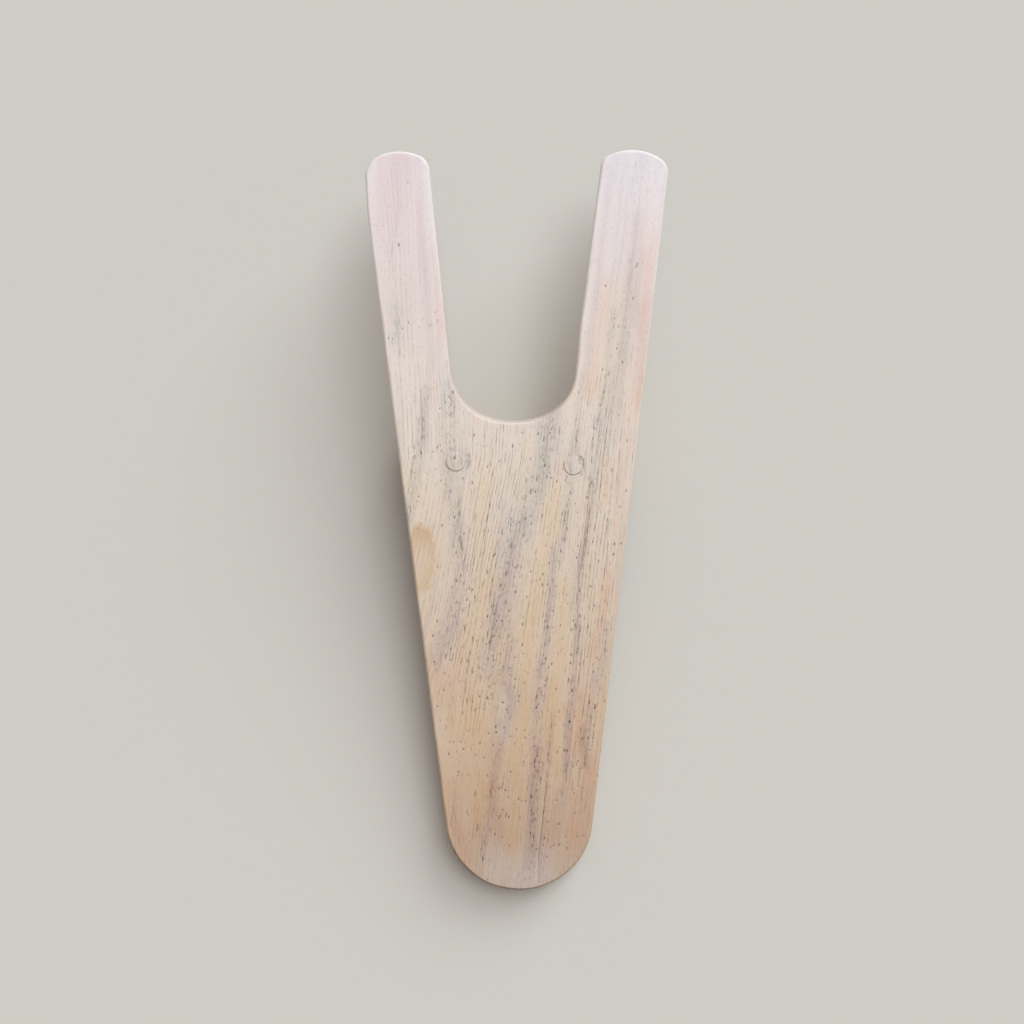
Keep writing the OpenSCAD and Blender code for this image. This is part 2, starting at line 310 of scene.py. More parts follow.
PINK_BANDS = [
    ([(46, 168), (44, 155), (42, 142), (39, 128)], 2.2, 1.0),
    ([(33, 104), (31, 92), (30, 80)], 2.8, 0.9),
    ([(38, 66), (36, 56), (34, 42), (30, 28)], 3.4, 1.0),
    ([(46, 226), (44, 210)], 2.0, 0.7),
    ([(57, 260), (54, 225), (52, 195)], 2.4, 0.4),
    ([(63, 330), (59, 300), (56, 280), (53, 262)], 7.5, 0.5),
    ([(-57, 386), (-58, 362)], 8.0, 0.6),
    ([(-40, 330), (-37, 295)], 3.0, 0.5),
    ([(-14, 60), (-13, 46), (-10, 36)], 2.8, 0.8),
    ([(-36, 52), (-34, 36), (-27, 20)], 3.2, 0.9),
    ([(-20, 64), (-18, 52)], 1.6, 0.8),
    ([(16, 34), (15, 18)], 2.2, 0.8),
    ([(-22, 46), (-22, 34)], 2.6, 0.8),
    ([(29, 50), (27, 34)], 2.4, 0.7),
    ([(-38, 118), (-40, 106)], 2.4, 0.6),
    ([(65, 306), (63.5, 284), (61.5, 262)], 3.2, 1.0),
    ([(44, 314), (40.5, 285), (37, 264)], 3.0, 0.8),
]
PALE_PATCHES = [
    ([(-12, 12), (0, 6), (12, 9)], 5.5, 0.4),
    ([(-5, 215), (-4, 200)], 4.0, 0.3),
    ([(-47, 340), (-46, 318), (-42, 290), (-38, 270)], 2.2, 0.7),
    ([(52, 378), (51, 350), (48, 325)], 4.0, 0.4),
    ([(-41, 92), (-39, 76)], 2.5, 0.25),
    ([(-8, 100), (-9, 88)], 3.0, 0.35),
    ([(29, 227.5), (29.5, 223.5)], 2.0, 0.6),
    ([(14, 18), (12, 8)], 3.0, 0.35),
]
BROWN_EDGE = [
    ([(-40, 54), (-38.8, 40), (-37.2, 31)], 1.5, 0.9),
    ([(-34.9, 278), (-34.7, 275.5)], 0.4, 0.5),
]
PLUG_SCRATCH = [
    ([(26.6, 226.2), (27.1, 222.6)], 0.3, 1.0),
    ([(-33.4, 229.5), (-33.0, 226)], 0.25, 0.5),
]
# Where the pore lines are strong
LINED = [
    ([(-8, 228), (-12, 205), (-17, 175), (-22, 145), (-25, 112)], 9.0, 1.0),
    ([(44, 262), (40, 230), (37, 195), (38, 160), (36, 130), (33, 100), (31, 66)], 7.0, 0.9),
    ([(24, 235), (19, 205), (16, 175), (13, 150), (10, 125)], 6.0, 0.55),
    ([(-50, 258), (-51, 240), (-53, 225)], 4.0, 0.7),
    ([(-66, 372), (-62, 335), (-57, 300), (-54, 275)], 4.5, 0.7),
    ([(-28, 100), (-26, 70), (-24, 40)], 7.0, 0.35),
    ([(-30, 262), (-26, 240)], 6.0, 0.5),
    ([(10, 60), (9, 30)], 6.0, 0.3),
]
# The brown stain: its middle, and half its width and length
STAIN = ((-49.5, 178), 8.0, 18.5)

# Arcs of dirt and painted shade round the plugs: middle of the arc from the plug's middle, radius,
# headings, strength
JOINT_ARCS = {
    "left": [
        ((0.0, 0.0), 4.75, 165, 320, 0.65),
        ((1.6, 0.3), 5.5, -55, 50, 0.8),
        ((-1.1, 0.4), 4.2, -35, 45, 0.7),
    ],
    "right": [
        ((0.0, 0.0), 4.75, 150, 330, 0.55),
        ((0.2, 0.8), 5.0, -35, 62, 0.9),
        ((-1.2, 1.6), 4.6, -25, 40, 0.8),
    ],
}

# Dents and open pores, listed after the photograph: (v, u), then in tenths the half length, the half width
# and the darkness
PITS = [
    (-34, 59.5, 8, 3, 4), (-23, 53, 16, 3.5, 9), (-15, 54, 17, 4, 9), (-17, 51.5, 6, 4, 6),
    (-10.5, 56, 8, 5.5, 10), (-8.6, 55.2, 6, 6, 10), (-7.2, 55, 6, 5, 9), (-5.5, 51, 6, 3.5, 7),
    (-8, 60, 25, 3, 8), (-3, 47.5, 8, 3, 6), (1.5, 49, 10, 4, 5), (3.5, 49, 8, 6, 5), (4.2, 56, 7, 3, 6),
    (6.5, 51, 7, 4, 9), (6.3, 44, 18, 4, 9), (-10, 41, 8, 5, 10), (-7, 41.5, 16, 3, 9),
    (-22, 34.5, 22, 3, 8), (-27.5, 43, 9, 3, 5), (-9, 29.5, 6, 3, 7), (8, 39, 10, 8, 5),
    (15, 37.5, 7, 5, 7), (21, 36.5, 8, 6, 8), (20.5, 32.5, 8, 4, 6), (13.7, 33, 5, 4, 6),
    (12.5, 25, 8, 5, 6), (18, 25, 9, 3.5, 6), (14.3, 18.5, 9, 5, 5), (25, 23, 12, 4, 6),
    (29.3, 18, 9, 4, 7), (30.3, 29.5, 6, 3, 6), (-19.3, 17.5, 16, 4, 9), (-24.2, 13.3, 9, 3, 7),
    (16.7, 6, 8, 5, 9), (10, 3.8, 8, 3, 7), (-19, 8.2, 10, 5, 6), (8, 13, 6, 5, 5), (12.5, 58, 7, 5, 9),
    (14.5, 54, 8, 4, 7), (19.8, 49.4, 6, 4, 9), (22.8, 56, 35, 2.2, 7), (28, 55.5, 8, 3, 6),
    (31.3, 57, 7, 3, 6), (33.5, 56, 5, 3, 6), (38.4, 52, 7, 3, 6), (11, 59.5, 12, 4, 6),
    (29.3, 42.5, 10, 3, 5), (32.3, 43, 8, 3, 4), (3, 33, 6, 4, 4), (-26.3, 31.3, 8, 2.5, 5),
    (-32, 28, 8, 3, 5), (-30, 20, 9, 2.5, 4), (-38.8, 109, 6, 3.5, 8), (-30, 105, 5, 3, 6),
    (-27, 103, 16, 2.5, 6), (-24, 102.8, 8, 3.5, 7), (-21, 99, 5, 3.5, 6), (-17.7, 98.5, 6, 3, 6),
    (-16, 104.2, 5, 4, 8), (-13.7, 104.3, 5, 3.5, 7), (-15, 101.3, 5, 3, 7), (-15, 110.5, 12, 5, 5),
    (-8, 102.2, 6, 7, 9), (-6, 98.3, 8, 3.5, 10), (-1.7, 114.5, 6, 3.5, 8), (3, 112.7, 6, 4, 6),
    (0.2, 105.5, 9, 4, 7), (0, 102.8, 8, 3.5, 9), (9.3, 105, 12, 4, 9), (12, 106, 10, 3.5, 6),
    (9.8, 100.8, 5, 3, 8), (14, 113.4, 6, 3.5, 7), (25.8, 113.6, 14, 3.5, 10), (27.5, 108.3, 11, 3, 7),
    (26.2, 106.6, 7, 2.5, 5), (15.3, 97.7, 5, 4, 6), (20.8, 97, 8, 3, 7), (28.8, 94.5, 9, 3, 8),
    (26.6, 91.7, 8, 7, 9), (39.6, 99.5, 16, 4, 10), (23.1, 90, 6, 3.5, 7), (14.6, 88, 7, 3, 5),
    (-12, 89.3, 11, 4, 9), (-11.6, 86.3, 6, 5, 10), (-15.6, 85.6, 6, 3.5, 9), (-27, 87.2, 6, 3, 7),
    (-4.3, 84, 6, 4, 8), (3.4, 83.2, 8, 3.5, 9), (5.2, 84.8, 5, 3, 4), (-30.3, 81.2, 6, 4, 7),
    (-34, 81.2, 8, 3, 6), (-28, 81, 6, 3.5, 5), (-20.2, 80.5, 9, 3.5, 9), (-13.3, 79.3, 7, 4, 7),
    (-29, 77.4, 7, 4, 9), (-25, 77, 7, 2.5, 4), (-23, 73.8, 5, 3, 6), (-18, 72.6, 5, 3.5, 9),
    (-31.3, 65, 8, 3.5, 7), (-16.6, 63, 9, 3.5, 8), (-26.6, 63.3, 5, 3, 6), (-10, 76.5, 5, 3, 7),
    (-38, 89, 18, 2.5, 5), (-37, 93.5, 12, 2, 4), (8.2, 78.6, 8, 3.5, 9), (8.4, 71, 12, 6, 6),
    (10.7, 70, 8, 5, 6), (6, 69, 6, 4, 7), (12.4, 69.3, 6, 3.5, 6), (16.3, 68.5, 7, 3, 6),
    (16, 75, 16, 3.5, 6), (17.5, 94, 14, 3, 5), (20, 75.4, 10, 3.5, 8), (28.3, 67.7, 7, 3.5, 9),
    (30, 68.7, 7, 3.5, 9), (31.7, 66.3, 5, 3.5, 7), (35, 64.3, 6, 3, 6), (33, 82.5, 10, 5, 8),
    (33.5, 76.6, 14, 4, 10), (34.5, 72, 24, 2, 6), (38.5, 82.8, 6, 3.5, 9), (36.8, 76.3, 6, 3, 7),
    (8.8, 63, 16, 3.5, 6), (14.6, 62.6, 14, 3, 6), (20.2, 63.3, 6, 3, 6), (24.7, 65, 20, 3, 7),
    (24.9, 61.5, 6, 4, 9), (1.4, 79, 5, 3, 5), (3, 72.8, 4, 3, 5), (7.3, 97, 8, 2.5, 5),
    (34, 89.5, 6, 2.5, 5), (-20, 120.4, 6, 3.5, 9), (-18.4, 119.5, 4, 3, 7), (-4.5, 120.4, 5, 3, 10),
    (-28, 181, 12, 4, 9), (-31.5, 181, 10, 5, 6), (-28, 175.5, 11, 3, 7), (-41, 174, 14, 3, 6),
    (-31.5, 166.5, 9, 4, 7), (-29.8, 164.6, 14, 3.5, 8), (-34, 163.2, 8, 3, 6), (-25, 162.5, 10, 3.5, 8),
    (-26.2, 156.8, 8, 4, 7), (-31.6, 155, 7, 3.5, 7), (-15.4, 170.6, 12, 3, 9), (-6, 170, 16, 3.5, 9),
    (-1.4, 173, 7, 3.5, 7), (1.7, 173.2, 8, 3, 6), (-8.7, 163.8, 12, 4.5, 9), (-6.7, 163.8, 5, 3.5, 7),
    (-2.3, 163.5, 6, 3.5, 7), (-1.2, 160.3, 10, 4.5, 10), (1, 168, 6, 3, 6), (6.6, 171, 7, 3.5, 8),
    (12.8, 169.5, 8, 4, 10), (15.2, 164.2, 8, 3.5, 9), (19.4, 163.3, 7, 3, 5), (24, 166.5, 5, 3, 6),
    (22.4, 171, 5, 2.5, 4), (31.3, 177.5, 5, 3, 6), (37.3, 163, 6, 3.5, 10), (46.7, 179, 11, 3.5, 8),
    (47.2, 174.8, 7, 2.5, 5), (47, 155.5, 12, 3.5, 6), (44.7, 155, 12, 3, 5), (-15.7, 147.8, 10, 4, 10),
    (-12.3, 149, 9, 4, 8), (-11, 145.4, 6, 4, 10), (-10, 147.8, 4, 3, 7), (-41.5, 145.4, 10, 4, 9),
    (-27.7, 141.7, 17, 3, 8), (-23.4, 136.5, 8, 3.5, 8), (-13.2, 137, 9, 3, 7), (-14.8, 134, 10, 3.5, 9),
    (-11.4, 139.5, 6, 3.5, 7), (-5.3, 137, 12, 3, 5), (-5.4, 144.7, 7, 2.5, 5), (2.6, 147, 7, 3.5, 7),
    (2.3, 143, 6, 4, 9), (12.8, 148, 14, 2.5, 5), (18, 150.3, 7, 4, 7), (17.7, 141.6, 6, 3.5, 7),
    (27.4, 140, 4, 3.5, 8), (32.3, 141.5, 8, 3, 6), (32, 147, 8, 2.5, 6), (23, 159.5, 8, 3, 6),
    (25, 158.5, 6, 4, 7), (30.4, 153, 7, 3.5, 7), (25.5, 154, 5, 3, 6), (45.6, 131.5, 22, 3.5, 9),
    (46, 136.4, 14, 2.5, 6), (40.4, 125.5, 7, 3.5, 7), (35.4, 126, 5, 3, 6), (27.3, 127.3, 8, 4, 9),
    (26.8, 122.8, 8, 4, 9), (17.3, 122.4, 8, 4, 8), (14, 125.3, 8, 3.5, 9), (13.7, 132.8, 12, 3, 6),
    (2.4, 128, 7, 3, 6), (-1.8, 126, 5, 4, 10), (1.2, 122.3, 5, 3, 6), (-12.9, 124.7, 9, 3.5, 8),
    (-8, 121.3, 7, 4, 6), (-13.3, 121.5, 8, 4, 6), (-35, 125, 7, 3.5, 9), (-37.4, 126.5, 12, 3, 6),
    (-43.4, 124, 7, 3.5, 8), (-26.6, 124.6, 12, 3, 6), (-21, 126, 10, 3, 6), (-21.4, 134.5, 8, 3, 6),
    (-28.4, 132, 13, 3, 5), (-46, 134.5, 7, 3, 5), (23, 130.5, 4, 3, 5), (31.4, 122.3, 8, 3.5, 7),
    (20.4, 128, 9, 2.5, 6), (-3, 195, 23, 3, 10), (-3.4, 184.5, 16, 4, 8), (-28.5, 185.8, 30, 3.2, 10),
    (-27.3, 190.8, 8, 4, 9), (-29.5, 201, 14, 5, 7), (-30, 206.5, 20, 2, 6), (-14.4, 207.5, 14, 3.5, 8),
    (-14.5, 212, 6, 2.5, 6), (-2.2, 235.3, 9, 3.5, 9), (14, 225.5, 8, 5, 10), (13.5, 228.5, 12, 2.5, 7),
    (16.6, 221.8, 7, 3, 7), (15, 219.8, 8, 3, 8), (17.5, 219, 6, 4, 7), (10, 218.5, 12, 3.5, 8),
    (4.5, 218, 12, 3, 8), (6.8, 212, 14, 3.5, 8), (3.6, 208.5, 6, 3, 7), (8, 206.7, 5, 5, 5),
    (12.5, 206, 8, 3, 5), (4, 198.3, 8, 4, 9), (6.7, 199.6, 6, 5, 6), (1, 196.5, 8, 6, 5),
    (-8, 191.5, 16, 2.5, 7), (-5, 187, 12, 2.5, 7), (4.6, 187, 14, 2.5, 6), (-22, 199, 16, 2, 6),
    (-24, 223.5, 5, 3, 7), (-36, 222, 13, 3, 8), (-46, 221.5, 5, 2, 5), (-50.2, 210, 4, 4, 9),
    (-51, 207.5, 4, 2.5, 6), (-42.4, 232.8, 5, 4, 7), (-32, 238.5, 12, 2.5, 5), (-34, 237.5, 10, 2.5, 5),
    (-17, 235.2, 4, 4, 6), (-15.2, 235.5, 7, 3, 5), (-9, 228, 10, 2.5, 6), (-8.5, 243, 12, 2.5, 6),
    (2.6, 242, 7, 4, 7), (13.2, 245, 22, 3, 7), (17.4, 243.9, 6, 3.5, 7), (16.6, 241.8, 6, 4, 9),
    (13.5, 239, 16, 2.5, 6), (18.3, 239.5, 6, 4, 5), (21.3, 243, 22, 2.5, 6), (20.3, 227, 6, 2.5, 7),
    (20.3, 217.5, 9, 2.5, 6), (14.3, 184.5, 5, 3, 8), (22, 181.5, 10, 4, 9), (27.5, 209, 28, 2.2, 7),
    (26.5, 203, 20, 2, 6), (37, 204.5, 14, 2.2, 6), (36, 198, 30, 2, 7), (35, 188, 40, 2.2, 6),
    (38.5, 215, 16, 2, 6), (44, 210, 8, 2, 6), (47.8, 223, 12, 2.5, 7), (43.8, 225, 8, 2, 6),
    (52, 204, 7, 4, 7), (39.9, 214, 5, 3, 6), (33.3, 182.5, 13, 3, 5), (-48, 240, 12, 3, 6),
    (-48.8, 233.5, 10, 3, 6), (-47.3, 249, 12, 3.5, 6), (-53, 217, 22, 3, 5), (-52.7, 204, 4, 3, 5),
    (30, 241, 30, 2.2, 7), (44.5, 315, 6, 5, 9), (60, 325, 14, 5, 6), (-66, 345, 6, 4, 4),
    (-53, 366, 6, 4, 4), (-43, 296, 10, 3, 5), (-34, 260.5, 8, 5, 7), (-33.2, 256.5, 9, 3.5, 7),
    (-38.8, 254.5, 6, 4, 6), (50.9, 295, 7, 4, 7), (62.5, 281.5, 9, 3.5, 6), (50.2, 284, 7, 4, 8),
    (43, 273.5, 10, 3, 6), (-40.5, 306, 7, 3.5, 7), (-40.7, 302.5, 5, 3.5, 6), (-57.1, 294.5, 6, 3.5, 6),
    (-56.8, 281, 5, 3.5, 5), (-48.5, 295, 5, 3.5, 5),
]
# Fine dark lines in the grain, a line of (v, u) and how dark each is
FINE_LINES = [
    ([(39.2, 251), (36.5, 215), (34.4, 190), (32.9, 171)], 0.5), ([(30.3, 243), (29.2, 231)], 0.7),
    ([(26.9, 212), (23.6, 197)], 0.7), ([(36.9, 203.6), (34.4, 183.6)], 0.7),
    ([(-29.2, 188.6), (-27.8, 180.4)], 1.0), ([(17.6, 94.5), (16.4, 84), (15, 70)], 0.6),
    ([(22.7, 57), (22.3, 51)], 0.6), ([(-7.4, 64), (-9.2, 54.8)], 0.8), ([(-3, 198), (-3.9, 192)], 1.0),
    ([(31.2, 178), (30.5, 150), (31.2, 127)], 0.35), ([(48.5, 262), (46.5, 235), (45, 210)], 0.3),
    ([(47.5, 215), (46, 190), (45.5, 170)], 0.35), ([(52.5, 240), (50.5, 205)], 0.3),
    ([(-22.5, 222), (-25, 190), (-29, 160), (-32, 140)], 0.3),
    ([(-12, 225), (-15.5, 195), (-19.5, 165), (-23, 140)], 0.3),
    ([(-34.6, 46), (-33, 38), (-33.8, 30)], 0.3), ([(6.3, 47), (6.6, 40)], 0.8),
    ([(45.2, 137), (44.4, 127)], 0.7), ([(34.8, 78), (33.9, 68)], 0.5), ([(25.2, 70), (24.4, 60)], 0.6),
    ([(-61, 372), (-60, 352), (-57.5, 330)], 0.15), ([(-65, 365), (-63, 345), (-60.5, 322)], 0.15),
    ([(-19, 30), (-20.5, 18)], 0.4), ([(19.3, 46), (19.5, 30)], 0.25),
]
# The crack from the tail, and how far along the board it is deep
CRACK = [
    (9.7, 3.6), (9.7, 8.4), (9.9, 16), (10.6, 24), (11.3, 30), (12.1, 37), (12.6, 43.4), (13.3, 51.3),
    (13.8, 55), (14.2, 60),
]
CRACK_DEEP_TO = 45.0

# How far a band's soft edge reaches, in half widths and then in millimetres
BAND_REACH = (4.4, 4)


def band(marks, v, u):
    """How strongly the nearest of these lines marks a place, from 0 to its strength. The edges of
    a line are soft and uneven, and it fades out beyond its ends."""
    most = 0.0
    for line, half, strength in marks:
        reach = BAND_REACH[0] * half + BAND_REACH[1]
        if not min(line[0][1], line[-1][1]) - reach < u < max(line[0][1], line[-1][1]) + reach:
            continue
        for (v0, u0), (v1, u1) in zip(line, line[1:]):
            t = ((v - v0) * (v1 - v0) + (u - u0) * (u1 - u0)) / ((v1 - v0) ** 2 + (u1 - u0) ** 2)
            t = min(max(t, 0.0), 1.0)
            across = v - v0 - t * (v1 - v0)
            along = (u - u0 - t * (u1 - u0)) / 2.0
            away = math.hypot(across, along) + 0.9 * wave(v, u * 0.3, 5, 2.0)
            away += 0.25 * half * wave(v, u * 0.5, 13, 4.0)
            most = max(most, strength * (1 - smooth(half * 0.1, half * 2.1, away)))
    return most


# Mesh building

# The board's flat map, in millimetres: where its top and underside have their middle line, where
# the strips of the edge start and how long and how far apart they are, and where the holes go
MAP_MARGIN = 1
MAP_TOP = 77
MAP_UNDER = 231
MAP_EDGE = 309
STRIP_LEN = 380
STRIP_PITCH = 25
MAP_HOLES = {"hole_left": (46, 300), "hole_right": (46, 336)}

CIRCLE_POINTS = 48


class Piece:
    """Vertices in the board's frame with the marks on each, and faces."""

    marks = ("grey", "dark", "gold", "pink", "stain", "pit", "putty", "dirt", "rub", "ink", "pale", "lines")

    def __init__(self):
        self.points, self.faces, self.values = [], [], {m: [] for m in self.marks}
        self.charts, self.strip, self.length = [], {}, 0.0

    def add(self, v, u, w, **values):
        """Adds a vertex with its marks, and returns its number."""
        self.points.append(Vector((v, u, w)))
        for m in self.marks:
            self.values[m].append(values.get(m, 0.0))
        return len(self.points) - 1

    def join(self, upper, lower, chart=None, inward=False):
        """Faces between two rings that run counterclockwise seen from above. They face out, or
        inward for a hole."""
        for i in range(len(upper)):
            j = (i + 1) % len(upper)
            face = (upper[i], lower[i], lower[j], upper[j])
            self.faces.append(face[::-1] if inward else face)
            self.charts.append(chart)

    def fill(self, loops, inner, up, cuts=(), hollow=(), chart=None):
        """Triangles across a flat face. loops are rings of vertices, the first one the outside;
        inner are loose vertices in it; cuts are chains of vertices that edges follow; hollow are
        (centre, radius) of the holes."""
        ids = [i for loop in loops for i in loop] + list(inner)
        place = {i: k for k, i in enumerate(ids)}
        edges = [(place[l[k - 1]], place[l[k]]) for l in loops for k in range(len(l))]
        edges += [(place[a], place[b]) for c in cuts for a, b in zip(c, c[1:])]
        flat = [Vector((self.points[i].x, self.points[i].y)) for i in ids]
        _, _, tris, source, _, _ = delaunay_2d_cdt(flat, edges, [], 1, 1e-5)
        for t in tris:
            corners = [ids[source[k][0]] for k in t]
            mid = sum((self.points[i].to_2d() for i in corners), Vector((0, 0))) / 3
            if any((mid - c).length < r for c, r in hollow):
                continue
            self.faces.append(corners if up else corners[::-1])
            self.charts.append(chart)

    def spacing(self, ring, other):
        """How far each point of a ring is from its fellow in another."""
        return [(self.points[a] - self.points[b]).length for a, b in zip(ring, other)]

    def lay_strip(self, rings):
        """Where the points of stacked rings go in the flat map: along the rings, and across them."""
        across, middle = 0.0, rings[len(rings) // 2]
        self.length = sum(self.spacing(middle, middle[1:] + middle[:1]))
        for i, ring in enumerate(rings):
            if i:
                steps = self.spacing(ring, rings[i - 1])
                across += sum(steps) / len(steps)
            for k, point in enumerate(ring):
                self.strip[point] = (k * self.length / len(ring), across)

    def flat(self, chart, corners):
        """Places of a face's corners in the board's flat map, in millimetres: the top, the
        underside beside it, the edge in strips, and the holes between the prongs."""
        if chart == "top":
            return [(MAP_TOP + self.points[i].x, MAP_MARGIN + self.points[i].y) for i in corners]
        if chart == "under":
            return [(MAP_UNDER - self.points[i].x, MAP_MARGIN + self.points[i].y) for i in corners]
        spots = [self.strip[i] for i in corners]
        most = max(along for along, _ in spots)
        around = self.length if chart == "edge" else math.tau * BOARD_HOLE[0][0]
        spots = [(a + around if most - a > around / 2 else a, t) for a, t in spots]
        if chart == "edge":
            turn = min(a for a, _ in spots) // STRIP_LEN
            left, back = MAP_EDGE + STRIP_PITCH * turn, STRIP_LEN * turn
            return [(left + t, MAP_MARGIN + a - back) for a, t in spots]
        left, low = MAP_HOLES[chart]
        return [(left + t, low + a) for a, t in spots]

    def add_map(self, mesh):
        """The flat map as the mesh's UV map, scaled so that all of it fits."""
        layer = mesh.uv_layers.new(name="OFBake")
        size = MAP_EDGE + MAP_MARGIN + STRIP_PITCH * math.ceil(self.length / STRIP_LEN)
        for polygon, chart in zip(mesh.polygons, self.charts):
            for loop, spot in zip(polygon.loop_indices, self.flat(chart, polygon.vertices)):
                layer.data[loop].uv = (spot[0] / size, spot[1] / size)

    def build(self, name, material):
        mesh = bpy.data.meshes.new(name)
        mesh.from_pydata([ON_BOARD @ p for p in self.points], [], self.faces)
        if self.charts and all(self.charts):
            self.add_map(mesh)
        mesh.validate()
        mesh.update()
        grain = [c for p in self.points for c in (grain_place(p.x, p.y), p.y, p.z)]
        plan = [c for p in self.points for c in p]
        for place, numbers in (("grain", grain), ("plan", plan)):
            mesh.attributes.new(place, "FLOAT_VECTOR", "POINT").data.foreach_set("vector", numbers)
        for m in self.marks:
            mesh.attributes.new(m, "FLOAT", "POINT").data.foreach_set("value", self.values[m])
        mesh.shade_smooth()
        mesh.materials.append(material)
        piece = show(name, mesh)
        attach(piece, "root")
        return piece


def inside(points, p, margin):
    """True if p is in the loop, at least a margin from its points."""
    hit = False
    for a, b in zip(points, points[1:] + points[:1]):
        if (a.y > p.y) != (b.y > p.y) and p.x < a.x + (b.x - a.x) * (p.y - a.y) / (b.y - a.y):
            hit = not hit
    return hit and all((q - p).length_squared > margin * margin for q in points)


def grid(points, step, margin, seed):
    """Scattered places in a loop, in staggered rows about a step apart."""
    rng = random.Random(seed)
    stray = 0.2
    v0, v1 = min(p.x for p in points), max(p.x for p in points)
    u0, u1 = min(p.y for p in points), max(p.y for p in points)
    found, row, u = [], 0, u0
    while u < u1:
        v = v0 + (step / 2 if row % 2 else 0)
        while v < v1:
            p = Vector([x + rng.uniform(-stray, stray) * step for x in (v, u)])
            if inside(points, p, margin):
                found.append(p)
            v += step
        row += 1
        u += step * 0.87
    return found


def circle(centre, radius, count=CIRCLE_POINTS):
    turns = [k * math.tau / count for k in range(count)]
    return [centre + radius * Vector((math.cos(turn), math.sin(turn))) for turn in turns]


def clear_of_screws(p, room):
    return all((p - c).length > room for c in SCREW_PLACES.values())


def along_line(line, step):
    """Places along a line of points, a step apart."""
    places = []
    for a, b in zip(line, line[1:]):
        a, b = Vector(a), Vector(b)
        count = max(1, round((b - a).length / step))
        places += [a.lerp(b, k / count) for k in range(count)]
    return places


def floor_height(u):
    """Height of the floor in the board's frame."""
    return (TAIL_FLAT - u) * math.tan(TILT)


def underside(u):
    """Height of the board's underside: it slopes, but for the flat under the tail."""
    return max(0.0, floor_height(u))


# The board

# The rounded edge of a face, as shares of its radius: in from the side, and down from the face
PROFILE = [(1.7, 0), (1.0, 0.0), (0.62, 0.075), (0.29, 0.29), (0.075, 0.62), (0.0, 1.0)]
SIDE_LEVELS = 8
# Rings of vertices in the top face round a plug (radius, count), and the room that they take
COLLAR = ((5.05, 60), (5.5, 60), (6.0, 56), (6.6, 52), (7.3, 48), (8.2, 40))
COLLAR_ROOM = 9.0
FILLER_SIDE = Vector((0.97, 0.24))
SMALL_PITS = 90
TOP_STEP = 1.9
UNDER_STEP = 5.0


def by_notch(p):
    """1 at the round end of the notch, and 0 from 46 mm off its middle."""
    return smooth(46, 40, (p - NOTCH_CENTRE).length)


def tip_wear(p, n):
    """How far the outer side of the left prong is worn in toward its tip."""
    return 1.5 * smooth(348, 378, p.y) * smooth(0.3, 0.9, -n.x) if p.x < -55 else 0.0


def undercut(p, n, share):
    """How far the inner side of the right prong runs back from its top, at a share of the way
    down. The top stands that much proud of the CAD's side, and the underside is flush with it."""
    return 1.1 * share * smooth(262, 300, p.y) * smooth(0.4, 0.95, -n.x) if p.x > 15 else 0.0


def edge_dirt_and_shade(p):
    """Darker along the edge, most round the tail and more on the left: dirt, and painted shade round the
    tail, where the rounded edge faces away from the lamps and meets the floor.
    """
    left = smooth(-20, -30, p.x) * smooth(300, 150, p.y)
    tail = smooth(45, 5, p.y) * smooth(45, -5, p.x)
    return 0.15 + 0.15 * left + 0.7 * tail


def notch_painted_shade(p, n):
    """Painted shade on the wall at the end of the notch."""
    return 0.2 * smooth(0.2, 0.8, n.y) * by_notch(p)


def rubbed_and_highlit(p):
    """How pale the edges are, most at the tips and in the notch: worn wash, and painted highlight along the
    rims and sides.
    """
    tips = smooth(180, 330, p.y) * smooth(34, 46, (p - NOTCH_CENTRE).length)
    return max(0.3 * by_notch(p), tips)


def top_dip(v, u):
    """The top face is nearly flat: it dips a little, and more by the grain lines."""
    g = grain_place(v, u)
    return 0.05 * wave(v, u, 45, 11) + 0.05 * noise.noise(Vector((g / 2.2, u / 60, 1.3))) - 0.1


def left_stain(v, u):
    """The brown stain by the left edge: an uneven oval, darker at its rim and toward the tips."""
    (sv, su), half_v, half_u = STAIN
    away = math.hypot((v - sv) / half_v, (u - su) / half_u) + 0.2 * wave(v, u, 6, 5)
    away += 0.16 * wave(v, u * 0.25, 1.8, 6) * smooth(178, 190, u)
    depth = 0.3 + 0.3 * smooth(0.3, 0.85, away) + 0.35 * smooth(179, 190, u)
    return (1 - smooth(0.85, 1.05, away)) * depth


def top_marks(v, u):
    return dict(
        grey=band(GREY_BANDS, v, u),
        dark=band(DARK_STREAKS, v, u),
        gold=band(GOLD_BANDS, v, u),
        pink=band(PINK_BANDS, v, u),
        pale=band(PALE_PATCHES, v, u),
        lines=band(LINED, v, u),
        stain=max(left_stain(v, u), band(BROWN_EDGE, v, u)),
    )


def joint_dirt_and_shade(side, p):
    """Dirt and painted shade in and by the joint round a plug."""
    most = 0.06 + 0.7 * band(PLUG_SCRATCH, p.x, p.y)
    for (v, u), radius, start, end, strength in JOINT_ARCS[side]:
        out = p - SCREW_PLACES[side] - Vector((v, u))
        turn = (math.degrees(math.atan2(out.y, out.x)) - start) % 360
        if turn < end - start:
            ends = smooth(0, 18, turn) * smooth(0, 18, end - start - turn)
            close = 1 - smooth(0.2, 0.8, abs(out.length - radius))
            most = max(most, strength * ends * close * (0.75 + 1.1 * wave(p.x, p.y, 1.0, 8)))
    return min(max(most, 0.0), 1.0)


def add_upper(piece, p, n, r, inset, drop):
    """A vertex on the rounded edge of the top face. From one radius in, it lies on the face."""
    q = p - n * inset * r
    on_face = inset >= 1
    w = BOARD_T - drop * r + (top_dip(q.x, q.y) if on_face else 0)
    dirt = 0.0 if on_face else edge_dirt_and_shade(p) + notch_painted_shade(p, n)
    # Painted highlight: the rim is made paler as well as worn, standing in for the light that the rounded
    # edge catches.
    rub = rubbed_and_highlit(p) if inset < 0.5 else 0.0
    return piece.add(q.x, q.y, w, dirt=dirt, rub=rub, **top_marks(q.x, q.y))


